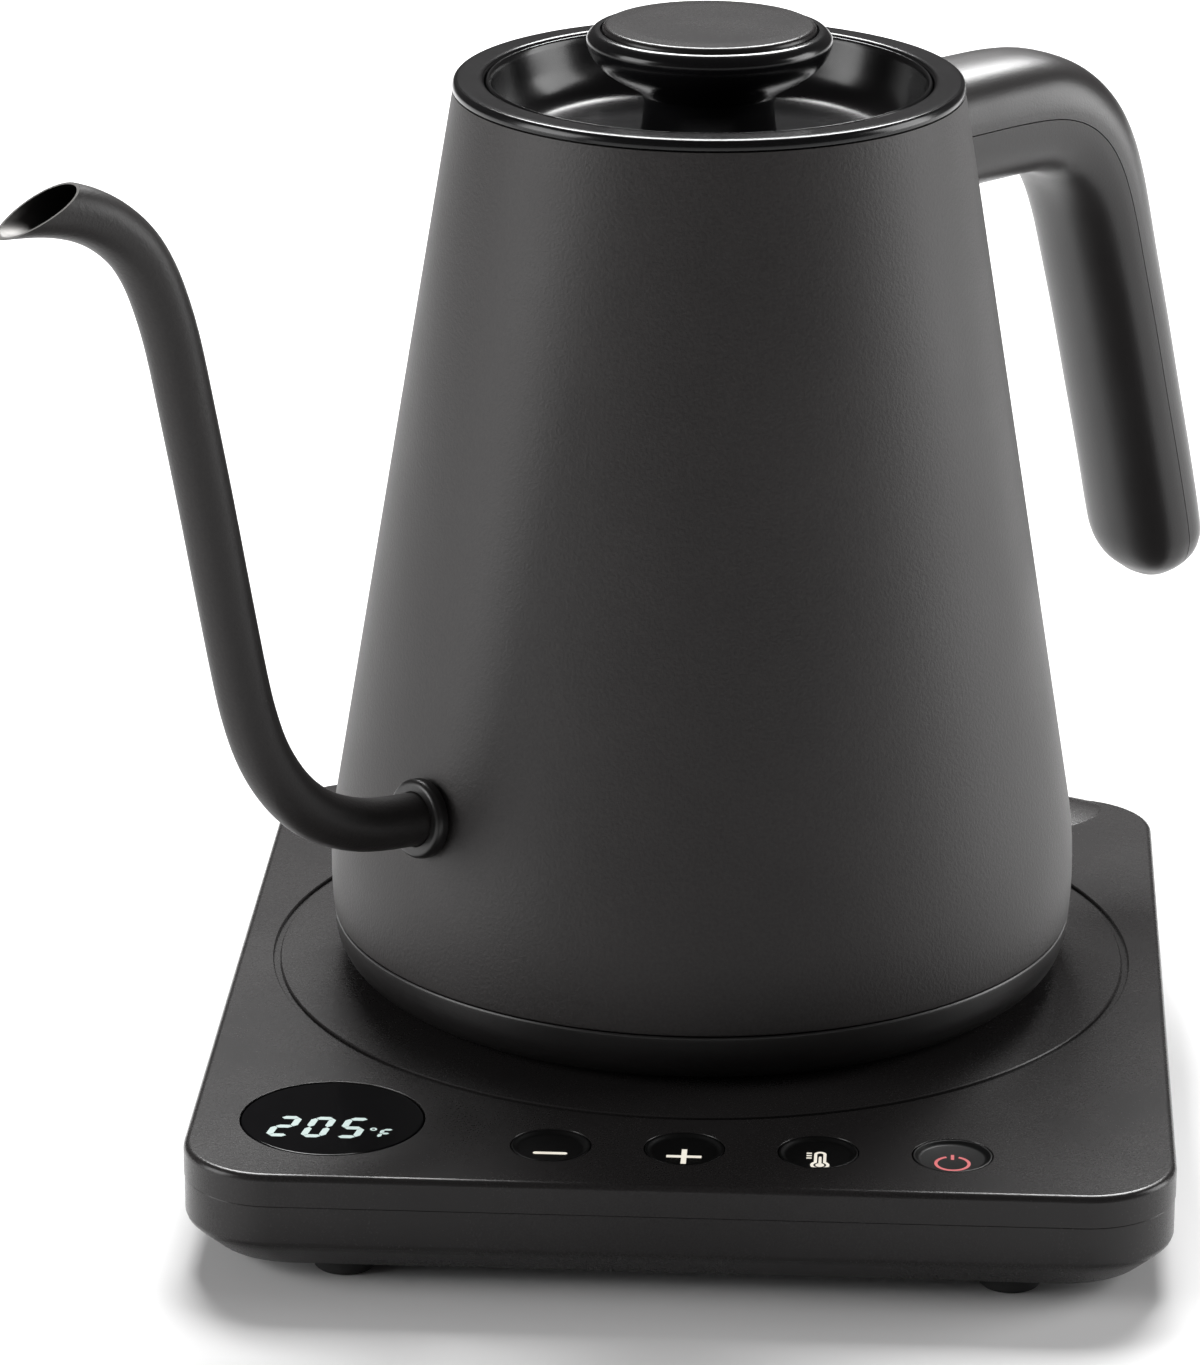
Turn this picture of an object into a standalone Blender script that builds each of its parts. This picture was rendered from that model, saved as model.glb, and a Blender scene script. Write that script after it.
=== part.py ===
"""Gooseneck electric kettle on a square power base, built as separate pieces in metres, +Z up."""

import math

import bmesh
import bpy
from mathutils import Matrix, Vector

MM = 0.001

# Where the base centre sits in the shared frame, so that the whole object's box is centred on the origin.
FRAME_X = 9.590 * MM
FRAME_Y = -1.942 * MM

# Power base
BASE_WIDTH = 170.0 * MM
BASE_DEPTH = 193.0 * MM
BASE_CORNER = 16.0 * MM
HOUSING_BOTTOM = 3.0 * MM
TAPER_TOP = 8.2 * MM
HOUSING_TOP = 15.6 * MM
COVER_BOTTOM = 15.9 * MM
PLATE_TOP = 21.3 * MM
PLATE_THICKNESS = 2.4 * MM
WALL = 2.2 * MM
GAP = 0.3 * MM
KETTLE_Y = 11.0 * MM
RING_RADIUS = 78.2 * MM
RING_WIDTH = 0.9 * MM
RING_DEPTH = 0.7 * MM
FOOT_X = 57.0 * MM
FOOT_Y = 84.5 * MM
FOOT_RADIUS = 5.5 * MM
SCREW_X = 74.0 * MM
SCREW_Y = (-38.0 * MM, 66.0 * MM)

# Controls
DISPLAY_X = -60.3 * MM
DISPLAY_Y = -71.2 * MM
DISPLAY_RADIUS = 16.2 * MM
BUTTON_X = {"minus": -21.9 * MM, "plus": 1.0 * MM, "preset": 23.9 * MM, "power": 46.8 * MM}
BUTTON_Y = -80.2 * MM
BUTTON_RADIUS = 6.8 * MM
BUTTON_TRAVEL = 0.8 * MM
BOARD_Z = -8.3 * MM
CORD_X = 50.0 * MM
CORD_Z = 13.4 * MM

# Kettle, heights measured from the plate
SPOUT_AZIMUTH = math.radians(224.0)
SEAM_HEIGHT = 10.5 * MM
SEAM_RADIUS = 67.6 * MM
SHOULDER_HEIGHT = 31.0 * MM
SHOULDER_RADIUS = 67.1 * MM
NECK_HEIGHT = 163.3 * MM
NECK_RADIUS = 45.2 * MM
VESSEL_WALL = 1.0 * MM
RIM_HEIGHT = 165.5 * MM
RIM_INNER_RADIUS = 39.6 * MM
HUB_RADIUS = 20.6 * MM
HUB_HEIGHT = 8.4 * MM
CUP_RADIUS = 23.0 * MM

# Spout: radius from the kettle axis and height above the plate, along the centre line
SPOUT_RADIUS = 4.75 * MM
SPOUT_BORE = 3.95 * MM
SPOUT_SIDES = 12
SPOUT_LINE = [
    (62.2, 41.6),
    (68.7, 42.5),
    (74.0, 43.1),
    (79.4, 44.1),
    (84.4, 45.8),
    (89.6, 48.5),
    (94.4, 52.5),
    (98.4, 57.5),
    (101.6, 63.3),
    (104.0, 70.0),
    (105.9, 77.6),
    (109.0, 92.7),
    (112.5, 110.2),
    (116.0, 126.8),
    (118.5, 138.1),
    (120.7, 145.5),
    (123.2, 151.6),
    (126.3, 156.5),
    (130.3, 160.4),
    (134.8, 163.3),
    (139.8, 165.3),
    (145.5, 166.6),
    (152.6, 167.4),
    (158.6, 167.8),
]
MOUTH_TOP = (137.8, 170.0)
MOUTH_LIP = (151.5, 163.9)

# Handle: seam line of the two shells, then the thickness of the outer and inner shell and the share of the width
HANDLE_WIDTH = 25.5 * MM
HANDLE_SQUARENESS = 2.4
HANDLE_WALL = 2.4 * MM
HANDLE_LINE = [
    (43.0, 148.3, 10.2, 12.6, 1.0),
    (55.1, 148.5, 10.3, 12.6, 1.0),
    (64.7, 148.6, 10.4, 12.6, 1.0),
    (72.7, 148.3, 10.6, 12.3, 1.0),
    (78.4, 147.3, 10.8, 11.7, 1.0),
    (83.6, 145.1, 10.8, 11.0, 1.0),
    (88.0, 141.5, 10.5, 10.2, 1.0),
    (91.3, 136.9, 9.9, 9.3, 1.0),
    (93.9, 131.2, 9.3, 8.2, 1.0),
    (96.1, 124.6, 8.8, 7.5, 1.0),
    (98.3, 116.7, 8.6, 7.1, 1.0),
    (102.0, 103.6, 8.4, 6.9, 1.0),
    (105.7, 89.5, 8.3, 6.8, 1.0),
    (109.6, 74.9, 8.2, 6.8, 1.0),
    (112.9, 61.4, 8.1, 6.7, 1.0),
    (113.8, 57.2, 7.9, 6.5, 0.95),
    (114.5, 54.4, 7.2, 6.0, 0.83),
    (115.05, 52.4, 6.1, 5.1, 0.66),
    (115.4, 51.0, 4.8, 4.0, 0.48),
    (115.65, 50.2, 3.3, 2.8, 0.32),
]

# Lid and knob, heights measured from the plate
DISH_FLOOR = 153.3 * MM
LID_RADIUS = 39.2 * MM
STEM_RADIUS = 11.7 * MM
KNOB_RADIUS = 21.6 * MM
KNOB_TOP = 175.1 * MM

BIG_ROUND = 40
MEDIUM_ROUND = 24
SMALL_ROUND = 12

FINISHES = {
    "painted_steel": ((0.045, 0.043, 0.044), 0.55, 0.3),
    "satin_plastic": ((0.022, 0.022, 0.023), 0.42, 0.0),
    "gloss_plastic": ((0.010, 0.010, 0.011), 0.12, 0.0),
    "soft_rubber": ((0.018, 0.018, 0.018), 0.8, 0.0),
    "clear_silicone": ((0.45, 0.45, 0.43), 0.5, 0.0),
    "dark_glass": ((0.004, 0.004, 0.005), 0.06, 0.0),
    "brushed_steel": ((0.55, 0.55, 0.56), 0.3, 1.0),
    "brass": ((0.75, 0.55, 0.25), 0.3, 1.0),
    "circuit_board": ((0.02, 0.12, 0.05), 0.5, 0.0),
    "white_plastic": ((0.65, 0.65, 0.62), 0.45, 0.0),
    "display_film": ((0.08, 0.10, 0.10), 0.4, 0.0),
    "copper_winding": ((0.45, 0.20, 0.08), 0.45, 0.6),
}


def clear_scene():
    """Removes every object that the startup scene holds."""
    for obj in list(bpy.data.objects):
        bpy.data.objects.remove(obj, do_unlink=True)


def finish_material(name, finish):
    """One material for one piece, from the table of finishes."""
    colour, roughness, metallic = FINISHES[finish]
    material = bpy.data.materials.new(name + "_finish")
    material.use_nodes = True
    shader = material.node_tree.nodes["Principled BSDF"]
    shader.inputs["Base Color"].default_value = (*colour, 1.0)
    shader.inputs["Roughness"].default_value = roughness
    shader.inputs["Metallic"].default_value = metallic
    material.diffuse_color = (*colour, 1.0)
    return material


def add_empty(name, parent, location, turn=0.0):
    """A frame that pieces are placed in."""
    empty = bpy.data.objects.new(name, None)
    bpy.context.scene.collection.objects.link(empty)
    empty.parent = parent
    empty.location = location
    empty.rotation_euler = (0.0, 0.0, turn)
    return empty


def add_mesh(name, mesh_data, parent, finish, location=(0.0, 0.0, 0.0)):
    """Turns a bmesh into a named object with outward normals and shaded smooth by angle."""
    bmesh.ops.recalc_face_normals(mesh_data, faces=mesh_data.faces)
    mesh = bpy.data.meshes.new(name)
    mesh_data.to_mesh(mesh)
    mesh_data.free()
    for polygon in mesh.polygons:
        polygon.use_smooth = True
    mesh.set_sharp_from_angle(angle=math.radians(35.0))
    obj = bpy.data.objects.new(name, mesh)
    bpy.context.scene.collection.objects.link(obj)
    obj.parent = parent
    obj.location = location
    if finish is not None:
        mesh.materials.append(finish_material(name, finish))
    return obj


def as_cutter(obj):
    """Hides a helper from the render and shows it as a wire."""
    obj.hide_render = True
    obj.display_type = "WIRE"
    return obj


def combine(target, tool, operation):
    """Adds a live exact Boolean to the target."""
    modifier = target.modifiers.new(tool.name, "BOOLEAN")
    modifier.operation = operation
    modifier.solver = "EXACT"
    modifier.object = tool


def cut(target, tool):
    combine(target, tool, "DIFFERENCE")


def join(target, tool):
    combine(target, tool, "UNION")


def stack_rings(rings):
    """A closed surface through equal rings of points, capped at both ends."""
    data = bmesh.new()
    loops = [[data.verts.new(point) for point in ring] for ring in rings]
    count = len(rings[0])
    for low, high in zip(loops, loops[1:]):
        for i in range(count):
            j = (i + 1) % count
            data.faces.new((low[i], low[j], high[j], high[i]))
    data.faces.new(loops[0])
    data.faces.new(loops[-1])
    return data


def lathe(profile, segments):
    """A solid of revolution about Z. A profile that starts and ends at radius 0 is open, any other is a loop."""
    data = bmesh.new()
    rows = []
    for radius, height in profile:
        if radius == 0.0:
            rows.append([data.verts.new((0.0, 0.0, height))])
            continue
        ring = []
        for i in range(segments):
            angle = math.tau * i / segments
            ring.append(data.verts.new((radius * math.cos(angle), radius * math.sin(angle), height)))
        rows.append(ring)
    pairs = list(zip(rows, rows[1:]))
    if len(rows[0]) > 1:
        pairs.append((rows[-1], rows[0]))
    for low, high in pairs:
        for i in range(segments):
            j = (i + 1) % segments
            corners = []
            for ring, index in ((low, i), (low, j), (high, j), (high, i)):
                vertex = ring[index % len(ring)]
                if vertex not in corners:
                    corners.append(vertex)
            if len(corners) > 2:
                data.faces.new(corners)
    return data


def add_lathe(name, profile, parent, finish, segments=MEDIUM_ROUND, location=(0.0, 0.0, 0.0)):
    """A turned piece, its profile in millimetres."""
    scaled = [(radius * MM, height * MM) for radius, height in profile]
    return add_mesh(name, lathe(scaled, segments), parent, finish, location)


def add_cylinder(name, radius, low, high, parent, finish, segments=SMALL_ROUND, location=(0.0, 0.0, 0.0)):
    """An upright cylinder between two heights."""
    profile = [(0.0, low), (radius, low), (radius, high), (0.0, high)]
    return add_mesh(name, lathe(profile, segments), parent, finish, location)


def add_box(name, size, centre, parent, finish):
    """A box with its origin at its centre."""
    data = bmesh.new()
    bmesh.ops.create_cube(data, size=1.0)
    bmesh.ops.scale(data, vec=size, verts=data.verts)
    return add_mesh(name, data, parent, finish, centre)


def rounded_outline(inset, height, rate=1.0):
    """The base's outline at one height, pulled in by an inset. The rate is how fast the corners tighten."""
    half_width = BASE_WIDTH / 2.0 - inset
    half_depth = BASE_DEPTH / 2.0 - inset
    radius = max(BASE_CORNER - inset * rate, 2.0 * MM)
    steps = 6
    points = []
    for quarter, (side_x, side_y) in enumerate(((1, 1), (-1, 1), (-1, -1), (1, -1))):
        for step in range(steps + 1):
            angle = math.pi / 2.0 * (quarter + step / steps)
            x = side_x * (half_width - radius) + radius * math.cos(angle)
            y = side_y * (half_depth - radius) + radius * math.sin(angle)
            points.append((x, y, height))
    return points


def hump_ring(scale, height):
    """One level of the low hump over the cord inlet, at the back on the right."""
    outline = [
        (66.0, 96.4),
        (72.5, 95.2),
        (75.6, 91.4),
        (75.0, 87.0),
        (72.0, 82.6),
        (67.6, 79.2),
        (61.5, 77.6),
        (55.0, 78.0),
        (47.0, 80.4),
        (38.0, 84.6),
        (29.0, 89.2),
        (20.0, 92.8),
        (12.0, 95.2),
        (8.0, 96.4),
    ]
    points = []
    for x, y in outline:
        across = (CORD_X / MM + (x - CORD_X / MM) * scale) * MM
        along = (96.4 + (y - 96.4) * scale) * MM
        points.append((across, along, height))
    return points


def build_top_cover(base):
    """Flat plate with its skirt, ring groove, display and button holes, screw bosses and cord hump."""
    rings = [
        rounded_outline(1.2 * MM, PLATE_TOP),
        rounded_outline(0.35 * MM, PLATE_TOP - 0.3 * MM),
        rounded_outline(0.0, PLATE_TOP - 1.0 * MM),
        rounded_outline(0.0, COVER_BOTTOM),
        rounded_outline(WALL, COVER_BOTTOM),
        rounded_outline(WALL, PLATE_TOP - PLATE_THICKNESS),
    ]
    cover = add_mesh("base_top_cover", stack_rings(rings), base, "satin_plastic")
    hump_levels = (
        (1.0, PLATE_TOP - 1.2 * MM),
        (1.0, PLATE_TOP + 0.05 * MM),
        (0.9, PLATE_TOP + 0.6 * MM),
        (0.72, PLATE_TOP + 1.2 * MM),
        (0.5, PLATE_TOP + 1.9 * MM),
        (0.25, PLATE_TOP + 2.6 * MM),
    )
    hump = stack_rings([hump_ring(scale, height) for scale, height in hump_levels])
    join(cover, as_cutter(add_mesh("hump_tool", hump, base, None)))
    for number, x, y in screw_places():
        place = (x, y, 0.0)
        top = PLATE_TOP - 1.5 * MM
        boss = add_cylinder(f"boss_tool_{number}", 3.4 * MM, 8.8 * MM, top, base, None, SMALL_ROUND, place)
        join(cover, as_cutter(boss))
        bore = add_cylinder(f"boss_bore_{number}", 1.55 * MM, 8.0 * MM, 15.6 * MM, base, None, 12, place)
        cut(cover, as_cutter(bore))
    low = (PLATE_TOP - RING_DEPTH) / MM
    high = (PLATE_TOP + 1.0 * MM) / MM
    inner = (RING_RADIUS - RING_WIDTH / 2.0) / MM
    outer = (RING_RADIUS + RING_WIDTH / 2.0) / MM
    groove = [(inner, low), (outer, low), (outer, high), (inner, high)]
    centre = (0.0, KETTLE_Y, 0.0)
    cut(cover, as_cutter(add_lathe("groove_tool", groove, base, None, BIG_ROUND, centre)))
    holes = [("socket", HUB_RADIUS + GAP, 0.0, KETTLE_Y), ("display", DISPLAY_RADIUS, DISPLAY_X, DISPLAY_Y)]
    for label, x in BUTTON_X.items():
        holes.append((label, BUTTON_RADIUS + GAP, x, BUTTON_Y))
    for label, radius, x, y in holes:
        low = PLATE_TOP - 4.0 * MM
        high = PLATE_TOP + 1.0 * MM
        tool = add_cylinder(f"{label}_hole_tool", radius, low, high, base, None, MEDIUM_ROUND, (x, y, 0.0))
        cut(cover, as_cutter(tool))
    cut(cover, bpy.data.objects["cord_hole_tool"])
    return cover


def screw_places():
    """Number and position of each of the four base screws."""
    places = []
    for x in (-SCREW_X, SCREW_X):
        for y in SCREW_Y:
            places.append((len(places) + 1, x, y))
    return places


def foot_places():
    """Name and position of each of the four feet."""
    return [
        ("front_left", -FOOT_X, -FOOT_Y),
        ("front_right", FOOT_X, -FOOT_Y),
        ("rear_left", -FOOT_X, FOOT_Y),
        ("rear_right", FOOT_X, FOOT_Y),
    ]


def build_lower_housing(base):
    """Tray with a tapered underside, foot recesses and screw seats."""
    rings = [
        rounded_outline(5.6 * MM, HOUSING_BOTTOM, 0.2),
        rounded_outline(4.2 * MM, HOUSING_BOTTOM + 0.5 * MM, 0.2),
        rounded_outline(1.2 * MM, TAPER_TOP - 1.2 * MM, 0.2),
        rounded_outline(0.2 * MM, TAPER_TOP + 0.4 * MM, 0.2),
        rounded_outline(0.2 * MM, HOUSING_TOP, 0.2),
        rounded_outline(2.4 * MM, HOUSING_TOP, 0.2),
        rounded_outline(2.4 * MM, TAPER_TOP + 0.6 * MM, 0.2),
        rounded_outline(6.6 * MM, HOUSING_BOTTOM + 2.4 * MM, 0.2),
    ]
    housing = add_mesh("base_lower_housing", stack_rings(rings), base, "satin_plastic")
    for number, x, y in screw_places():
        place = (x, y, 0.0)
        pad = add_cylinder(f"pad_tool_{number}", 4.6 * MM, 4.4 * MM, 8.5 * MM, base, None, SMALL_ROUND, place)
        join(housing, as_cutter(pad))
        bore = [(0.0, 1.0), (3.1, 1.0), (3.1, 6.1), (1.6, 6.1), (1.6, 9.5), (0.0, 9.5)]
        cut(housing, as_cutter(add_lathe(f"seat_tool_{number}", bore, base, None, 16, place)))
    for label, x, y in foot_places():
        radius = FOOT_RADIUS + GAP
        tool = add_cylinder(f"foot_tool_{label}", radius, 1.0 * MM, 4.2 * MM, base, None, SMALL_ROUND, (x, y, 0.0))
        cut(housing, as_cutter(tool))
    cut(housing, bpy.data.objects["cord_hole_tool"])
    return housing


def build_feet_and_screws(base):
    """Rubber feet and the screws that hold the two halves of the base."""
    for label, x, y in foot_places():
        radius = FOOT_RADIUS / MM
        profile = [(0.0, 0.0), (radius - 0.6, 0.0), (radius, 0.6), (radius, 3.9), (0.0, 3.9)]
        add_lathe(f"foot_{label}", profile, base, "soft_rubber", SMALL_ROUND, (x, y, 0.0))
    for number, x, y in screw_places():
        profile = [(0.0, 4.0), (2.8, 4.0), (2.8, 5.8), (1.2, 5.8), (1.2, 14.6), (0.0, 14.6)]
        add_lathe(f"base_screw_{number}", profile, base, "brushed_steel", 12, (x, y, 0.0))


def build_cord_inlet(base):
    """Rubber gland where the mains cord would enter, in the back wall."""
    wall = (BASE_DEPTH / 2.0) / MM
    profile = [
        (3.2, wall - 5.2),
        (5.2, wall - 5.2),
        (5.2, wall - 3.6),
        (4.4, wall - 3.6),
        (4.4, wall + 0.3),
        (5.4, wall + 0.3),
        (5.1, wall + 1.3),
        (3.2, wall + 1.3),
    ]
    gland = add_lathe("cord_inlet_gland", profile, base, "soft_rubber", 24, (CORD_X, 0.0, CORD_Z))
    gland.rotation_euler = (-math.pi / 2.0, 0.0, 0.0)


def add_cord_hole_tool(base):
    """Cutter for the gland's hole, which both halves of the base share."""
    low = BASE_DEPTH / 2.0 - 6.0 * MM
    high = BASE_DEPTH / 2.0 + 4.0 * MM
    tool = add_cylinder("cord_hole_tool", 4.7 * MM, low, high, base, None, 24, (CORD_X, 0.0, CORD_Z))
    tool.rotation_euler = (-math.pi / 2.0, 0.0, 0.0)
    as_cutter(tool)


def build_controls(panel):
    """Display window and its module, the four caps, their switches, the board and the buzzer."""
    lens = [(0.0, -2.3), (15.9, -2.3), (15.9, -0.35), (15.6, -0.05), (0.0, -0.05)]
    add_lathe("display_lens", lens, panel, "dark_glass", BIG_ROUND, (DISPLAY_X, DISPLAY_Y, 0.0))
    centre = (DISPLAY_X, DISPLAY_Y, -4.7 * MM)
    add_box("display_module", (24.0 * MM, 14.0 * MM, 4.0 * MM), centre, panel, "display_film")
    board_centre = (-10.0 * MM, -76.0 * MM, BOARD_Z + 0.6 * MM)
    add_box("control_board", (136.0 * MM, 26.0 * MM, 1.2 * MM), board_centre, panel, "circuit_board")
    for label, x in BUTTON_X.items():
        profile = [
            (0.0, -3.6),
            (7.7, -3.6),
            (7.7, -2.8),
            (6.8, -2.8),
            (6.8, -0.25),
            (6.45, 0.1),
            (5.2, -0.25),
            (3.0, -0.55),
            (0.0, -0.65),
        ]
        place = (x, BUTTON_Y, 0.0)
        add_lathe(f"button_{label}", profile, panel, "satin_plastic", MEDIUM_ROUND, place)
        switch_centre = (x, BUTTON_Y, -5.75 * MM)
        size = (6.0 * MM, 6.0 * MM, 2.2 * MM)
        add_box(f"switch_{label}", size, switch_centre, panel, "brushed_steel")
    place = (-38.5 * MM, -76.0 * MM, 0.0)
    buzzer = [(0.0, -6.8), (5.5, -6.8), (5.5, -3.2), (1.0, -3.2), (1.0, -4.4), (0.0, -4.4)]
    add_lathe("buzzer", buzzer, panel, "satin_plastic", SMALL_ROUND, place)


def build_power_parts(base):
    """Mains board with its transformer and relay, behind the socket."""
    add_box("power_board", (104.0 * MM, 40.0 * MM, 1.6 * MM), (-10.0 * MM, 64.0 * MM, 8.0 * MM), base, "circuit_board")
    centre = (-42.0 * MM, 64.0 * MM, 13.2 * MM)
    add_box("power_transformer", (26.0 * MM, 30.0 * MM, 8.0 * MM), centre, base, "copper_winding")
    centre = (12.0 * MM, 64.0 * MM, 13.2 * MM)
    add_box("heater_relay", (28.0 * MM, 13.0 * MM, 8.0 * MM), centre, base, "white_plastic")


def build_socket(seat):
    """Round female half of the turning connector, with its centre and ring contacts."""
    socket = [
        (0.0, -9.3),
        (19.0, -9.3),
        (19.0, -4.7),
        (24.0, -4.7),
        (24.0, -2.7),
        (20.6, -2.7),
        (20.6, 6.6),
        (18.6, 8.4),
        (15.8, 8.4),
        (15.8, -4.0),
        (11.4, -4.0),
        (11.4, 8.4),
        (5.4, 8.4),
        (4.4, 7.4),
        (4.4, -5.0),
        (0.0, -5.0),
    ]
    add_lathe("base_socket", socket, seat, "satin_plastic", MEDIUM_ROUND)
    centre = [(2.7, -4.7), (4.1, -4.7), (4.1, 4.0), (2.7, 4.0)]
    add_lathe("socket_centre_contact", centre, seat, "brass", SMALL_ROUND)
    ring = [(14.3, -3.7), (15.5, -3.7), (15.5, 4.0), (14.3, 4.0)]
    add_lathe("socket_ring_contact", ring, seat, "brass", MEDIUM_ROUND)


def build_plug(seat):
    """Round male half of the turning connector, under the kettle."""
    plug = [
        (0.0, 12.2),
        (2.7, 12.2),
        (2.7, 9.0),
        (11.4, 9.0),
        (11.4, 12.2),
        (14.0, 12.2),
        (14.0, 9.0),
        (22.6, 9.0),
        (22.6, 14.2),
        (0.0, 14.2),
    ]
    add_lathe("kettle_plug", plug, seat, "white_plastic", MEDIUM_ROUND)
    pin = [(0.0, -3.4), (1.7, -3.4), (2.3, -2.4), (2.3, 11.9), (0.0, 11.9)]
    add_lathe("plug_centre_pin", pin, seat, "brass", SMALL_ROUND)
    ring = [(11.8, -3.2), (13.6, -3.2), (13.6, 11.9), (11.8, 11.9)]
    add_lathe("plug_ring_contact", ring, seat, "brass", MEDIUM_ROUND)


def vessel_profile(offset, low, high):
    """Outer line of the vessel in millimetres, moved outwards by an offset, from a low to a high end."""
    seam = SEAM_RADIUS / MM
    line = [
        (seam, low),
        (seam + 0.25, 14.0),
        (seam + 0.35, 19.0),
        (seam + 0.15, 25.0),
        (SHOULDER_RADIUS / MM, SHOULDER_HEIGHT / MM),
    ]
    slope = (NECK_RADIUS - SHOULDER_RADIUS) / (NECK_HEIGHT - SHOULDER_HEIGHT)
    for height in (75.0, 120.0, high):
        radius = SHOULDER_RADIUS / MM + slope * (height - SHOULDER_HEIGHT / MM)
        line.append((radius, height))
    return [(radius + offset, height) for radius, height in line]


def spout_direction():
    """Direction in which the spout leaves the vessel, as a rotation about Y from Z."""
    (x0, z0), (x1, z1) = SPOUT_LINE[0], SPOUT_LINE[2]
    return math.atan2(x1 - x0, z1 - z0)


def build_vessel(kettle):
    """Painted steel wall, its floor plate and the strainer over the spout hole."""
    outer = vessel_profile(0.0, SEAM_HEIGHT / MM + 0.3, NECK_HEIGHT / MM)
    inner = vessel_profile(-VESSEL_WALL / MM, SEAM_HEIGHT / MM + 0.3, NECK_HEIGHT / MM)
    body = add_lathe("vessel_body", outer + inner[::-1], kettle, "painted_steel", BIG_ROUND)
    root = (SPOUT_LINE[1][0] * MM, 0.0, SPOUT_LINE[1][1] * MM)
    radius = SPOUT_RADIUS + GAP
    tool = add_cylinder("spout_hole_tool", radius, -12.0 * MM, 6.0 * MM, kettle, None, 24, root)
    tool.rotation_euler = (0.0, spout_direction(), 0.0)
    cut(body, as_cutter(tool))
    floor = [
        (0.0, 16.2),
        (64.5, 16.2),
        (64.7, 12.4),
        (66.2, 12.4),
        (66.4, 16.8),
        (65.3, 17.6),
        (0.0, 17.6),
    ]
    add_lathe("vessel_floor", floor, kettle, "brushed_steel", BIG_ROUND)


def build_spout_filter(kettle):
    """Small perforated disc inside the vessel, in front of the spout hole."""
    place = (57.0 * MM, 0.0, 40.8 * MM)
    disc = add_cylinder("spout_filter", 8.0 * MM, 0.0, 0.8 * MM, kettle, "brushed_steel", 24, place)
    disc.rotation_euler = (0.0, spout_direction(), 0.0)
    for i in range(6):
        angle = math.tau * i / 6.0
        tool = add_cylinder(f"filter_tool_{i}", 1.5 * MM, -1.0 * MM, 2.0 * MM, disc, None, 8)
        tool.location = (4.8 * MM * math.cos(angle), 4.8 * MM * math.sin(angle), 0.0)
        cut(disc, as_cutter(tool))


def build_heater(kettle):
    """Heating ring, temperature probe and dry-boil cutout, between the floor and the bottom cover."""
    steps = 28
    sides = 8
    ring_radius = 44.0 * MM
    tube_radius = 3.2 * MM
    rings = []
    for i in range(steps + 1):
        angle = math.radians(20.0 + 320.0 * i / steps)
        centre = Vector((ring_radius * math.cos(angle), ring_radius * math.sin(angle), 12.4 * MM))
        outward = Vector((math.cos(angle), math.sin(angle), 0.0))
        ring = []
        for j in range(sides):
            turn = math.tau * j / sides
            ring.append(centre + (outward * math.cos(turn) + Vector((0.0, 0.0, math.sin(turn)))) * tube_radius)
        rings.append(ring)
    add_mesh("heating_element", stack_rings(rings), kettle, "brushed_steel")
    probe = [(0.0, 6.0), (3.0, 6.0), (3.0, 9.0), (4.5, 9.0), (4.5, 11.0), (2.4, 11.0), (2.4, 15.8), (0.0, 15.8)]
    add_lathe("temperature_probe", probe, kettle, "brushed_steel", SMALL_ROUND, (31.5 * MM, 0.0, 0.0))
    centre = (-30.0 * MM, 0.0, 12.2 * MM)
    add_box("dry_boil_cutout", (8.0 * MM, 18.0 * MM, 6.0 * MM), centre, kettle, "white_plastic")


def build_bottom(kettle):
    """Lower band of the kettle, its seal and its three screws."""
    cover = [
        (CUP_RADIUS / MM, 0.3),
        (58.8, 0.3),
        (62.5, 1.1),
        (65.4, 3.3),
        (67.0, 6.4),
        (67.5, SEAM_HEIGHT / MM),
        (65.3, SEAM_HEIGHT / MM),
        (64.9, 7.0),
        (63.3, 4.6),
        (60.3, 2.9),
        (25.2, 2.9),
        (25.2, 14.8),
        (CUP_RADIUS / MM, 14.8),
    ]
    bottom = add_lathe("bottom_cover", cover, kettle, "satin_plastic", BIG_ROUND)
    seal = [(58.4, 12.6), (64.0, 12.6), (64.0, 15.8), (58.4, 15.8)]
    add_lathe("bottom_seal", seal, kettle, "clear_silicone", BIG_ROUND)
    for i in range(3):
        angle = math.radians(60.0 + 120.0 * i)
        place = (54.0 * MM * math.cos(angle), 54.0 * MM * math.sin(angle), 0.0)
        bore = [(0.0, -1.0), (3.0, -1.0), (3.0, 1.7), (1.5, 1.7), (1.5, 4.0), (0.0, 4.0)]
        cut(bottom, as_cutter(add_lathe(f"bottom_tool_{i}", bore, kettle, None, 12, place)))
        screw = [(0.0, 0.5), (2.6, 0.5), (2.6, 1.4), (1.2, 1.4), (1.2, 15.0), (0.0, 15.0)]
        add_lathe(f"bottom_screw_{i + 1}", screw, kettle, "brushed_steel", 12, place)


def tube_rings(line, radius, sides):
    """Rings of points around a line that lies in the XZ plane."""
    rings = []
    for i, (x, z) in enumerate(line):
        before = line[max(i - 1, 0)]
        after = line[min(i + 1, len(line) - 1)]
        tangent = Vector((after[0] - before[0], 0.0, after[1] - before[1])).normalized()
        across = Vector((0.0, 1.0, 0.0))
        up = tangent.cross(across)
        centre = Vector((x * MM, 0.0, z * MM))
        ring = []
        for j in range(sides):
            turn = math.tau * j / sides
            ring.append(centre + (across * math.cos(turn) + up * math.sin(turn)) * radius)
        rings.append(ring)
    return rings


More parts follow.
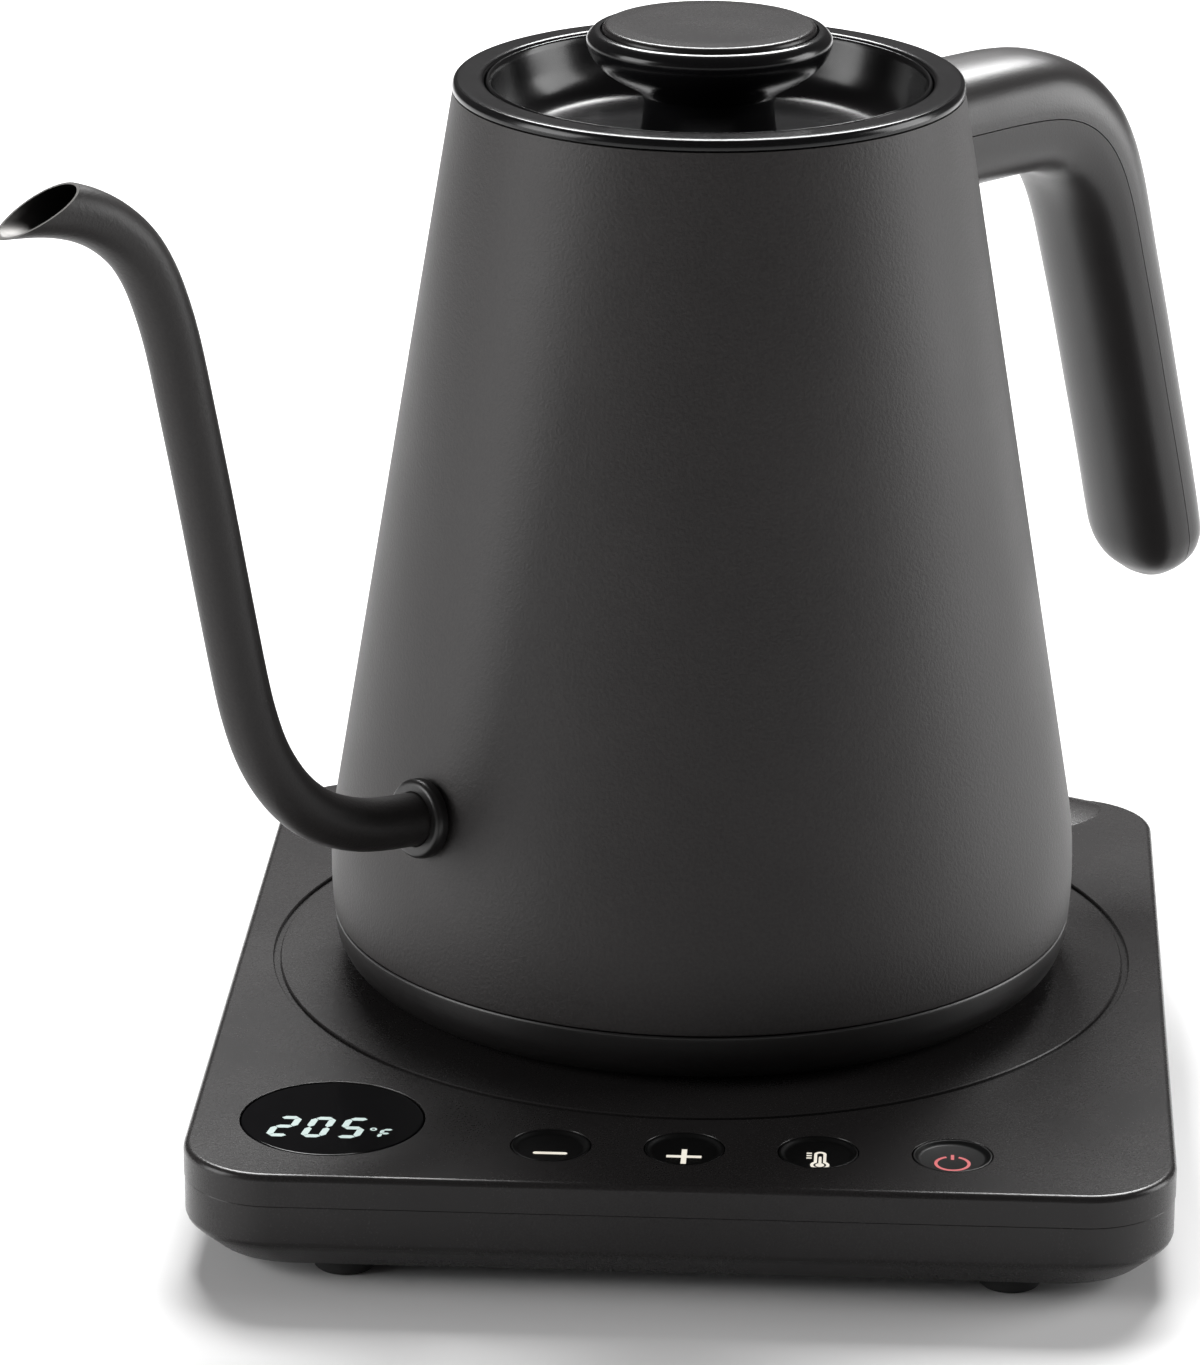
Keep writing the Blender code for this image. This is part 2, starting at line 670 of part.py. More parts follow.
def build_spout(kettle):
    """Bent steel tube with an oblique mouth, and the collar at its root."""
    outside = tube_rings(SPOUT_LINE, SPOUT_RADIUS, SPOUT_SIDES)
    inside = tube_rings(SPOUT_LINE, SPOUT_BORE, SPOUT_SIDES)
    data = bmesh.new()
    loops = [[data.verts.new(point) for point in ring] for ring in outside + inside[::-1]]
    for low, high in zip(loops, loops[1:] + loops[:1]):
        for i in range(SPOUT_SIDES):
            j = (i + 1) % SPOUT_SIDES
            data.faces.new((low[i], low[j], high[j], high[i]))
    spout = add_mesh("spout_tube", data, kettle, "painted_steel")
    top = Vector((MOUTH_TOP[0] * MM, 0.0, MOUTH_TOP[1] * MM))
    lip = Vector((MOUTH_LIP[0] * MM, 0.0, MOUTH_LIP[1] * MM))
    along = (lip - top).normalized()
    outward = Vector((-along.z, 0.0, along.x))
    size = 30.0 * MM
    centre = (top + lip) / 2.0 + outward * size / 2.0
    tool = add_box("mouth_tool", (size, size, size), centre, kettle, None)
    tool.rotation_euler = (0.0, math.atan2(-along.z, along.x), 0.0)
    cut(spout, as_cutter(tool))
    outer_radius = 7.1
    inner_radius = (SPOUT_RADIUS + GAP) / MM
    profile = [
        (inner_radius, 0.0),
        (outer_radius, 0.0),
        (outer_radius, 1.6),
        (outer_radius - 0.7, 2.3),
        (inner_radius, 2.3),
    ]
    place = (66.0 * MM, 0.0, 42.12 * MM)
    collar = add_lathe("spout_collar", profile, kettle, "gloss_plastic", 28, place)
    collar.rotation_euler = (0.0, spout_direction(), 0.0)


def handle_frames():
    """Position, outward normal, shell thicknesses and share of the width at each point of the handle's seam line."""
    frames = []
    for i, (radius, height, outer, inner, share) in enumerate(HANDLE_LINE):
        before = HANDLE_LINE[max(i - 1, 0)]
        after = HANDLE_LINE[min(i + 1, len(HANDLE_LINE) - 1)]
        tangent = Vector((-(after[0] - before[0]), 0.0, after[1] - before[1])).normalized()
        normal = Vector((tangent.z, 0.0, -tangent.x))
        centre = Vector((-radius * MM, 0.0, height * MM))
        frames.append((centre, normal, outer * MM, inner * MM, share))
    return frames


def half_section(centre, normal, depth, width, face):
    """Half of a rounded bar's section, its flat at a distance from the seam line."""
    across = Vector((0.0, 1.0, 0.0))
    power = 2.0 / HANDLE_SQUARENESS
    points = []
    for step in range(13):
        angle = math.pi * step / 12.0
        side = -math.copysign(abs(math.cos(angle)) ** power, math.cos(angle)) * width / 2.0
        out = math.sin(angle) ** power * depth if 0 < step < 12 else face
        points.append(centre + normal * max(out, face) + across * side)
    return points


def handle_half(side, shrink, face, first, last):
    """Rings of one half of the handle: side +1 is outside the seam line, -1 is inside."""
    rings = []
    for centre, normal, outer, inner, share in handle_frames()[first:last]:
        depth = (outer if side > 0 else inner) - shrink
        width = HANDLE_WIDTH * share - 2.0 * shrink
        rings.append(half_section(centre, normal * side, depth, width, face))
    return rings


def build_handle(kettle):
    """Two hollow shells that meet on a seam, the steel strip inside them and the screw at the root."""
    clearance = vessel_profile(GAP / MM, -5.0, 190.0)
    profile = [(0.0, clearance[0][1])] + clearance + [(0.0, clearance[-1][1])]
    body_tool = as_cutter(add_lathe("body_clearance_tool", profile, kettle, None, BIG_ROUND))
    frames = handle_frames()
    count = len(frames)
    centre = frames[2][0].lerp(frames[3][0], 0.5)
    normal = frames[2][1].lerp(frames[3][1], 0.5).normalized()
    depth = frames[2][3]
    place = centre - normal * depth
    bore = [(0.0, -2.0), (3.0, -2.0), (3.0, 1.1), (1.7, 1.1), (1.7, 16.0), (0.0, 16.0)]
    hole = as_cutter(add_lathe("handle_hole", bore, kettle, None, 12, place))
    reach = depth / MM + 2.6
    profile = [(0.0, 0.2), (2.6, 0.2), (2.6, 0.9), (1.3, 0.9), (1.3, reach), (0.0, reach)]
    screw = add_lathe("handle_screw", profile, kettle, "brushed_steel", 12, place)
    for obj in (hole, screw):
        obj.rotation_euler = (0.0, math.atan2(normal.x, normal.z), 0.0)
    for label, side in (("outer", 1), ("inner", -1)):
        rings = handle_half(side, 0.0, GAP / 2.0, 0, count)
        shell = add_mesh(f"handle_{label}_shell", stack_rings(rings), kettle, "satin_plastic")
        hollow = handle_half(side, HANDLE_WALL, -1.0 * MM, 0, count - 4)
        for point in hollow[0]:
            point.x += 3.0 * MM
        hollow_data = stack_rings(hollow)
        if side < 0:
            cut(shell, hole)
        cut(shell, body_tool)
        cut(shell, as_cutter(add_mesh(f"handle_{label}_hollow", hollow_data, kettle, None)))
    strip_rings = []
    for centre, normal, outer, inner, share in frames[1:14]:
        ring = []
        for side_y, side_n in ((-1, -1), (1, -1), (1, 1), (-1, 1)):
            ring.append(centre + Vector((0.0, side_y * 6.5 * MM, 0.0)) + normal * side_n * 0.9 * MM)
        strip_rings.append(ring)
    strip = add_mesh("handle_bracket", stack_rings(strip_rings), kettle, "brushed_steel")
    cut(strip, body_tool)
    cut(strip, hole)


def build_collar(kettle):
    """Glossy ring around the mouth of the vessel."""
    profile = [
        (RIM_INNER_RADIUS / MM, 152.0),
        (44.2, 152.0),
        (43.9, 163.6),
        (45.3, 163.6),
        (45.35, 164.9),
        (44.8, 165.5),
        (40.3, 165.5),
        (RIM_INNER_RADIUS / MM, 164.9),
    ]
    add_lathe("top_collar", profile, kettle, "gloss_plastic", BIG_ROUND)


def build_lid(lid):
    """Dished lid, its seal, its steel underplate and the knob with its cap and screw."""
    dish = [
        (2.4, 151.2),
        (36.0, 151.2),
        (39.0, 153.4),
        (39.2, 164.6),
        (38.7, 165.2),
        (37.9, 164.8),
        (36.9, 159.0),
        (35.6, 156.0),
        (33.4, 154.2),
        (30.0, 153.4),
        (14.0, 153.3),
        (2.4, 153.3),
    ]
    add_lathe("lid_dish", dish, lid, "gloss_plastic", BIG_ROUND)
    seal = [(36.6, 147.4), (39.1, 148.4), (39.3, 149.8), (38.6, 150.8), (36.6, 150.8)]
    add_lathe("lid_seal", seal, lid, "soft_rubber", BIG_ROUND)
    plate = [(2.4, 146.6), (35.6, 146.6), (36.3, 147.4), (36.3, 150.8), (34.9, 150.8), (34.9, 148.0), (2.4, 148.0)]
    add_lathe("lid_underplate", plate, lid, "brushed_steel", MEDIUM_ROUND)
    knob = [
        (0.0, 162.0),
        (2.4, 162.0),
        (2.4, 153.6),
        (13.4, 153.6),
        (12.1, 156.0),
        (STEM_RADIUS / MM, 159.6),
        (11.8, 162.4),
        (13.2, 163.8),
        (16.6, 165.8),
        (19.2, 167.6),
        (20.8, 169.5),
        (KNOB_RADIUS / MM, 171.4),
        (KNOB_RADIUS / MM, 172.7),
        (20.9, 173.6),
        (19.9, 174.2),
        (19.2, 174.0),
        (19.2, 172.8),
        (0.0, 172.8),
    ]
    add_lathe("knob_body", knob, lid, "gloss_plastic", BIG_ROUND)
    cap = [(0.0, 173.1), (18.9, 173.1), (18.9, 174.4), (18.3, 175.0), (17.0, 175.1), (0.0, 175.1)]
    add_lathe("knob_cap", cap, lid, "satin_plastic", BIG_ROUND)
    screw = [(0.0, 144.4), (4.2, 144.4), (4.2, 146.3), (2.0, 146.3), (2.0, 161.0), (0.0, 161.0)]
    add_lathe("knob_screw", screw, lid, "brushed_steel", 16)


def main():
    clear_scene()
    base = add_empty("base_frame", None, (FRAME_X, FRAME_Y, 0.0))
    panel = add_empty("panel_frame", base, (0.0, 0.0, PLATE_TOP))
    seat = add_empty("seat_frame", base, (0.0, KETTLE_Y, PLATE_TOP))
    kettle = add_empty("kettle_frame", seat, (0.0, 0.0, 0.0), SPOUT_AZIMUTH)
    lid = add_empty("lid_frame", kettle, (0.0, 0.0, 0.0))
    bpy.context.view_layer.update()
    add_cord_hole_tool(base)
    build_top_cover(base)
    build_lower_housing(base)
    build_feet_and_screws(base)
    build_cord_inlet(base)
    build_controls(panel)
    build_power_parts(base)
    build_socket(seat)
    build_plug(seat)
    build_vessel(kettle)
    build_spout_filter(kettle)
    build_heater(kettle)
    build_bottom(kettle)
    build_spout(kettle)
    build_handle(kettle)
    build_collar(kettle)
    build_lid(lid)


main()
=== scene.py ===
"""Finished surfaces, materials and studio for a gooseneck electric kettle on its power base."""

import math

import bmesh
import bpy
from mathutils import Matrix, Vector


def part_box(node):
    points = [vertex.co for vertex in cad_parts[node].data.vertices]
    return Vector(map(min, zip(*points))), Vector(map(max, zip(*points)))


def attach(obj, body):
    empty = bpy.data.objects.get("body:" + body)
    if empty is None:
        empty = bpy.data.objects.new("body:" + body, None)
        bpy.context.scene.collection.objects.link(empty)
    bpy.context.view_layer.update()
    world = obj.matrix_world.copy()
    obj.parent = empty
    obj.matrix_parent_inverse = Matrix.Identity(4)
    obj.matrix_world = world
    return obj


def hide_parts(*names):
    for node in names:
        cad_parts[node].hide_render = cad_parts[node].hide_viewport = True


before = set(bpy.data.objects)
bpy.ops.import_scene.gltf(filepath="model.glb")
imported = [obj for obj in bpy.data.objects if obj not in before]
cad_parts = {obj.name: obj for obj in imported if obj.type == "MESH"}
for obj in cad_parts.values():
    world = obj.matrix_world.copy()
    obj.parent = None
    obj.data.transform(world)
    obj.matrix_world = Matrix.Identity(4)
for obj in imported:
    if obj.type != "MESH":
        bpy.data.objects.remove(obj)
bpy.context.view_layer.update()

bl_info = {
    "name": "Gooseneck Kettle Surfaces",
    "version": (1, 0, 0),
    "blender": (4, 5, 0),
    "location": "3D View > Sidebar > Kettle",
    "description": "Models and finishes a gooseneck electric kettle and its power base, and sets up a studio",
    "category": "Object",
}

MM = 0.001


def middle(node):
    """Middle of a node's box, in millimetres."""
    low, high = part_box(node)
    return (low + high) / 2.0 / MM


# Places and sizes that several pieces share, in millimetres and degrees; turns are in radians
BAND_GAP = 0.3
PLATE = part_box("bottom_cover")[0].z / MM - BAND_GAP
BASE = middle("base_lower_housing")
AXIS = middle("lid_dish")
SPOUT_TURN = math.radians(224.0)
HANDLE_TURN = SPOUT_TURN + math.pi
QUARTER = math.pi / 2.0
BASE_SIZE = (170.0, 193.0)
BASE_CORNER = 16.0
BASE_WALL = 2.2
COVER_LOW = 15.68
COVER_THICKNESS = 2.4
TRAY_TOP = 15.6
TRAY_DEPTH = 8.8
HOLE_DEPTH = 4.0
SOCKET_HOLE, DISPLAY_HOLE, BUTTON_HOLE = 20.85, 16.05, 6.98
GROOVE_DEPTH = 0.7
CORD_X = 50.0
CORD_PLACE = (BASE.x + CORD_X, BASE.y, 13.4, QUARTER, QUARTER)
SPOUT_RADIUS = 4.75
SYMBOL_LOW, SYMBOL_HIGH = -0.68, -0.57
BAR_HEIGHT = 0.03
BAR_DEPTH = 0.045
SMOOTH_ANGLE = 35.0
BUTTONS = ("minus", "plus", "preset", "power")
FEET = tuple(f"foot_{place}" for place in ("front_left", "front_right", "rear_left", "rear_right"))
BASE_SCREWS = tuple(f"base_screw_{i}" for i in range(1, 5))
BAND_SCREWS = tuple(f"bottom_screw_{i}" for i in range(1, 4))


# Lines and outlines


def smooth_line(points, parts):
    """Rounded line through points, each stretch cut into equal parts."""
    line = []
    count = len(points)
    for i in range(count - 1):
        ends = (max(i - 1, 0), i, i + 1, min(i + 2, count - 1))
        around = list(zip(*(points[end] for end in ends)))
        for part in range(parts):
            t = part / parts
            weights = (
                -0.5 * t + t * t - 0.5 * t**3,
                1.0 - 2.5 * t * t + 1.5 * t**3,
                0.5 * t + 2.0 * t * t - 1.5 * t**3,
                -0.5 * t * t + 0.5 * t**3,
            )
            line.append(tuple(sum(w * value for w, value in zip(weights, values)) for values in around))
    line.append(tuple(points[-1]))
    return line


def soft_profile(corners, steps=4):
    """Profile whose corners (radius, height, rounding) become small arcs, with a support point at each side."""
    count = len(corners)
    line = []
    for i, (x, z, rounding) in enumerate(corners):
        before, after = corners[i - 1], corners[(i + 1) % count]
        if rounding == 0.0 or x == 0.0:
            line.append((x, z))
            continue
        here = Vector((x, z))
        back = Vector(before[:2]) - here
        ahead = Vector(after[:2]) - here
        reach = min(rounding, 0.45 * back.length, 0.45 * ahead.length)
        back, ahead = back.normalized(), ahead.normalized()
        support = reach * 1.25
        line.append(tuple(here + back * support))
        for step in range(steps + 1):
            t = step / steps
            start, end = here + back * reach, here + ahead * reach
            line.append(tuple(start * (1.0 - t) ** 2 + here * 2.0 * t * (1.0 - t) + end * t * t))
        line.append(tuple(here + ahead * support))
    return line


# Modelling


def deselect():
    if bpy.context.mode != "OBJECT":
        bpy.ops.object.mode_set(mode="OBJECT")
    bpy.ops.object.select_all(action="DESELECT")


def pick(obj):
    """Makes one object the only one selected, and the active one."""
    deselect()
    obj.select_set(True)
    bpy.context.view_layer.objects.active = obj
    return obj


def settle(obj, x=0.0, y=0.0, z=0.0, turn=0.0, tilt=0.0):
    """Moves a piece by millimetres, turned about Z after a tilt about Y, and leaves its place in its mesh."""
    pick(obj)
    bpy.ops.object.transform_apply(location=True, rotation=True, scale=True)
    obj.rotation_euler = (0.0, tilt, turn)
    obj.location = (x * MM, y * MM, z * MM)
    bpy.ops.object.transform_apply(location=True, rotation=True, scale=True)
    return obj


def edit_all():
    """Edit mode with every point selected."""
    bpy.ops.object.mode_set(mode="EDIT")
    bpy.ops.mesh.select_mode(type="VERT")
    bpy.ops.mesh.select_all(action="SELECT")


def weld(obj):
    """Merges the doubled points that a cut can leave behind."""
    pick(obj)
    edit_all()
    bpy.ops.mesh.remove_doubles(threshold=1e-6)
    bpy.ops.object.mode_set(mode="OBJECT")
    return obj


def close_up(obj):
    """Merges doubled points, turns the faces outwards and shades smooth across gentle edges."""
    pick(obj)
    edit_all()
    bpy.ops.mesh.remove_doubles(threshold=1e-6)
    bpy.ops.mesh.normals_make_consistent(inside=False)
    bpy.ops.object.mode_set(mode="OBJECT")
    bpy.ops.object.shade_smooth_by_angle(angle=math.radians(SMOOTH_ANGLE))
    return obj


def extrude_up(rise):
    """Extrudes what is selected upwards, in millimetres."""
    bpy.ops.mesh.extrude_region_move(TRANSFORM_OT_translate={"value": (0.0, 0.0, rise * MM)})


def extrude_level(start, end, ratio, x=0.0, y=0.0):
    """Extrudes from one height to another and resizes the new level about x and y, in millimetres."""
    extrude_up(end - start)
    bpy.ops.transform.resize(value=(*ratio, 1.0), center_override=(x * MM, y * MM, end * MM))


def turned(name, profile, sides=96):
    """Turned piece: a circle is extruded and resized along a (radius, height) profile in millimetres."""
    points = list(profile)
    solid = points[0][0] == 0.0
    if solid:
        points = [p for p in points if p[0] > 0.0]
    else:
        points.append(points[0])
    radius, height = points[0]
    deselect()
    bpy.ops.mesh.primitive_circle_add(
        vertices=sides, radius=radius * MM, fill_type="NGON" if solid else "NOTHING",
        location=(0.0, 0.0, height * MM))
    obj = bpy.context.object
    obj.name = name
    edit_all()
    for next_radius, next_height in points[1:]:
        ratio = next_radius / radius
        extrude_level(height, next_height, (ratio, ratio))
        radius, height = next_radius, next_height
    settle(obj)
    return close_up(obj)


def outlined(name, outline, height):
    """Filled circle whose points are moved onto an outline in millimetres, left in edit mode."""
    deselect()
    bpy.ops.mesh.primitive_circle_add(
        vertices=len(outline), radius=MM, fill_type="NGON", location=(0.0, 0.0, height * MM))
    obj = bpy.context.object
    obj.name = name
    edit_all()
    starts = [Vector(v.co) for v in bmesh.from_edit_mesh(obj.data).verts]
    for i, (x, y) in enumerate(outline):
        bpy.ops.mesh.select_all(action="DESELECT")
        mesh = bmesh.from_edit_mesh(obj.data)
        mesh.verts.ensure_lookup_table()
        mesh.verts[i].select = True
        mesh.select_flush(True)
        bmesh.update_edit_mesh(obj.data)
        bpy.ops.transform.translate(value=(x * MM - starts[i].x, y * MM - starts[i].y, 0.0))
    bpy.ops.mesh.select_all(action="SELECT")
    return obj


def flat_piece(name, outline, low, high):
    """Plate with any outline in millimetres."""
    obj = outlined(name, outline, low)
    extrude_up(high - low)
    settle(obj)
    return close_up(obj)


def arc(x, y, radius, start, end, steps):
    """Points along an arc, in millimetres and degrees."""
    points = []
    for step in range(steps + 1):
        angle = math.radians(start + (end - start) * step / steps)
        points.append((x + radius * math.cos(angle), y + radius * math.sin(angle)))
    return points


def choose(obj, test, kind="FACE"):
    """In edit mode, selects the faces or edges whose middle passes a test, in millimetres."""
    if bpy.context.mode == "OBJECT":
        pick(obj)
        bpy.ops.object.mode_set(mode="EDIT")
    bpy.ops.mesh.select_mode(type=kind)
    bpy.ops.mesh.select_all(action="DESELECT")
    mesh = bmesh.from_edit_mesh(obj.data)
    place = obj.matrix_world
    for part in mesh.faces if kind == "FACE" else mesh.edges:
        centre = sum((v.co for v in part.verts), Vector()) / len(part.verts)
        if test(place @ centre / MM, part):
            part.select = True
    mesh.select_flush_mode()
    bmesh.update_edit_mesh(obj.data)


def rounded_block(name, levels):
    """The base's outline with its rounded corners, extruded through (inset, height) levels."""
    inset, height = levels[0]
    width, depth = BASE_SIZE
    deselect()
    bpy.ops.mesh.primitive_plane_add(size=1.0, location=(0.0, 0.0, height * MM))
    obj = bpy.context.object
    obj.name = name
    edit_all()
    across, along = width - 2.0 * inset, depth - 2.0 * inset
    bpy.ops.transform.resize(value=(across * MM, along * MM, 1.0), center_override=(0.0, 0.0, height * MM))
    bpy.ops.mesh.bevel(offset=(BASE_CORNER - inset) * MM, segments=14, affect="VERTICES")
    for next_inset, next_height in levels[1:]:
        next_across, next_along = width - 2.0 * next_inset, depth - 2.0 * next_inset
        extrude_level(height, next_height, (next_across / across, next_along / along))
        across, along, height = next_across, next_along, next_height
    settle(obj, BASE.x, BASE.y)
    return close_up(obj)


def discard(obj):
    bpy.data.objects.remove(obj, do_unlink=True)


def carve(obj, tool, operation="DIFFERENCE"):
    """Cuts or joins with a helper, which is then removed."""
    pick(obj)
    modifier = obj.modifiers.new("shape", "BOOLEAN")
    modifier.operation = operation
    modifier.solver = "EXACT"
    modifier.object = tool
    bpy.ops.object.modifier_apply(modifier=modifier.name)
    discard(tool)
    return obj


def bore(obj, profile, sides, *place):
    """Cuts a turned hole, its place and turn given as to settle."""
    return carve(obj, settle(turned("tool", profile, sides), *place))


def soften(obj, width, segments, angle):
    """Rounds the edges that are sharper than an angle."""
    pick(obj)
    modifier = obj.modifiers.new("edges", "BEVEL")
    modifier.width = width * MM
    modifier.segments = segments
    modifier.limit_method = "ANGLE"
    modifier.angle_limit = math.radians(angle)
    bpy.ops.object.modifier_apply(modifier=modifier.name)
    return obj


def even_shading(obj, angle=SMOOTH_ANGLE):
    """Keeps flat faces flat beside their rounded edges."""
    pick(obj)
    bpy.ops.object.shade_smooth_by_angle(angle=math.radians(angle))
    modifier = obj.modifiers.new("shading", "WEIGHTED_NORMAL")
    modifier.keep_sharp = True
    bpy.ops.object.modifier_apply(modifier=modifier.name)
    return obj


def copied(obj, name, x, y, z=0.0):
    """Copy with its own mesh, moved by millimetres."""
    pick(obj)
    bpy.ops.object.duplicate(linked=False)
    twin = bpy.context.object
    twin.name = name
    return settle(twin, x, y, z)


def joined(parts):
    """One piece made of several, under the first one's name."""
    pick(parts[0])
    for part in parts:
        part.select_set(True)
    bpy.ops.object.join()
    return parts[0]


def follow(obj, stations):
    """Extrudes the selected section through stations (x, z, angle, width ratio, depth ratio) of the XZ plane."""
    x, z, angle, wide, deep = stations[0]
    for next_x, next_z, next_angle, next_wide, next_deep in stations[1:]:
        move = ((next_x - x) * MM, 0.0, (next_z - z) * MM)
        bpy.ops.mesh.extrude_region_move(TRANSFORM_OT_translate={"value": move})
        centre = (next_x * MM, 0.0, next_z * MM)
        if (wide, deep) == (next_wide, next_deep):
            bpy.ops.transform.rotate(value=angle - next_angle, orient_axis="Y", center_override=centre)
        else:
            bpy.ops.transform.rotate(value=angle, orient_axis="Y", center_override=centre)
            ratio = (next_deep / deep, next_wide / wide, 1.0)
            bpy.ops.transform.resize(value=ratio, center_override=centre)
            bpy.ops.transform.rotate(value=-next_angle, orient_axis="Y", center_override=centre)
        x, z, angle, wide, deep = next_x, next_z, next_angle, next_wide, next_deep


# Finishes


class Amount:
    """A number that varies over a surface, written as ordinary arithmetic."""

    def __init__(self, finish, socket):
        self.finish = finish
        self.socket = socket

    def math(self, operation, first, second):
        made = self.finish.node("ShaderNodeMath", {"operation": operation}, {0: first, 1: second})
        return Amount(self.finish, made.outputs[0])

    def __add__(self, other):
        return self.math("ADD", self, other)

    __radd__ = __add__

    def __sub__(self, other):
        return self.math("SUBTRACT", self, other)

    def __rsub__(self, other):
        return self.math("SUBTRACT", other, self)

    def __mul__(self, other):
        return self.math("MULTIPLY", self, other)

    __rmul__ = __mul__


class Finish:
    """One material: a Principled shader and the nodes that feed it."""

    def __init__(self, name, **constants):
        self.material = bpy.data.materials.new(name)
        self.material.use_nodes = True
        self.tree = self.material.node_tree
        self.tree.nodes.clear()
        self.shader = self.node("ShaderNodeBsdfPrincipled", {}, constants)
        self.node("ShaderNodeOutputMaterial", {}, {"Surface": self.shader.outputs[0]})
        self.place = self.node("ShaderNodeTexCoord").outputs["Object"]

    def node(self, kind, settings=None, inputs=None):
        """Adds a node: its settings are set first, then the values or links of its sockets."""
        made = self.tree.nodes.new(kind)
        for key, value in (settings or {}).items():
            setattr(made, key, value)
        for key, value in (inputs or {}).items():
            if isinstance(value, Amount):
                value = value.socket
            if isinstance(value, bpy.types.NodeSocket):
                self.tree.links.new(value, made.inputs[key])
            else:
                made.inputs[key].default_value = value
        return made

    def grain(self, scale, detail=2.0, roughness=0.5, stretch=None):
        """Noise with grains of about 1/scale of a metre, centred on 0.5."""
        place = self.place
        if stretch:
            place = self.node("ShaderNodeMapping", {}, {"Vector": place, "Scale": stretch}).outputs[0]
        inputs = {"Vector": place, "Scale": scale, "Detail": detail, "Roughness": roughness}
        return Amount(self, self.node("ShaderNodeTexNoise", {}, inputs).outputs[0])

    def blend(self, factor, first, second):
        """Mix of two colours."""
        made = self.node("ShaderNodeMix", {"data_type": "RGBA"}, {0: factor, 6: first, 7: second})
        return made.outputs[2]

    def feed(self, **inputs):
        """Links what varies over the surface to the shader's sockets."""
        for key, value in inputs.items():
            socket = self.shader.inputs[key.replace("_", " ")]
            self.tree.links.new(value.socket if isinstance(value, Amount) else value, socket)

    def bump(self, height, distance, strength=1.0):
        """Small relief, with its depth in millimetres."""
        inputs = {"Height": height, "Distance": distance * MM, "Strength": strength}
        self.feed(Normal=self.node("ShaderNodeBump", {}, inputs).outputs[0])


FINISHES = {}


def shade_of(colour, factor):
    return (colour[0] * factor, colour[1] * factor, colour[2] * factor, 1.0)


def moulded(name, colour, roughness, grain_scale, depth, specular=0.5, spread=0.12, contrast=0.17):
    """Plastic or paint: a fine grain in the relief, and a slow drift in colour and gloss."""
    finish = Finish(name, **{"Specular IOR Level": specular})
    fine = finish.grain(grain_scale, 3.0, 0.6)
    slow = finish.grain(38.0, 3.0, 0.6)
    dark, light = shade_of(colour, 1.0 - contrast), shade_of(colour, 1.0 + contrast)
    finish.feed(
        Base_Color=finish.blend(slow * 0.3 + fine * 0.7, dark, light),
        Roughness=(slow - 0.5) * spread + (fine - 0.5) * spread + roughness,
    )
    finish.bump(fine, depth)
    FINISHES[name] = finish.material


def metal(name, colour, roughness, scale, depth, stretch):
    """Bare metal with fine marks of its polishing along one direction."""
    finish = Finish(name, Metallic=1.0)
    marks = finish.grain(scale, 4.0, 0.65, stretch)
    slow = finish.grain(60.0, 2.0)
    finish.feed(
        Base_Color=finish.blend(slow, shade_of(colour, 0.86), shade_of(colour, 1.08)),
        Roughness=(marks - 0.5) * 0.22 + (slow - 0.5) * 0.1 + roughness,
    )
    finish.bump(marks, depth)
    FINISHES[name] = finish.material


def lit_ink(name, colour, strength):
    """Lit symbol, a little uneven as light through a diffuser is."""
    finish = Finish(name, Roughness=0.4, **{"Emission Strength": strength, "Base Color": (0.02, 0.02, 0.02, 1.0)})
    uneven = finish.grain(700.0, 2.0)
    finish.feed(Emission_Color=finish.blend(uneven, shade_of(colour, 0.82), shade_of(colour, 1.1)))
    FINISHES[name] = finish.material


def mixed_board(name):
    """Green circuit board with copper tracks under its lacquer."""
    finish = Finish(name, **{"Coat Weight": 0.3})
    tracks = finish.node(
        "ShaderNodeTexBrick", {"offset": 0.5},
        {"Vector": finish.place, "Scale": 140.0, "Mortar Size": 0.03, "Color1": (0.01, 0.09, 0.03, 1.0),
         "Color2": (0.014, 0.12, 0.04, 1.0), "Mortar": (0.05, 0.2, 0.06, 1.0)},
    )
    finish.feed(Base_Color=tracks.outputs[0], Roughness=finish.grain(300.0) * 0.3 + 0.3)
    finish.bump(Amount(finish, tracks.outputs[1]), 0.05)
    FINISHES[name] = finish.material


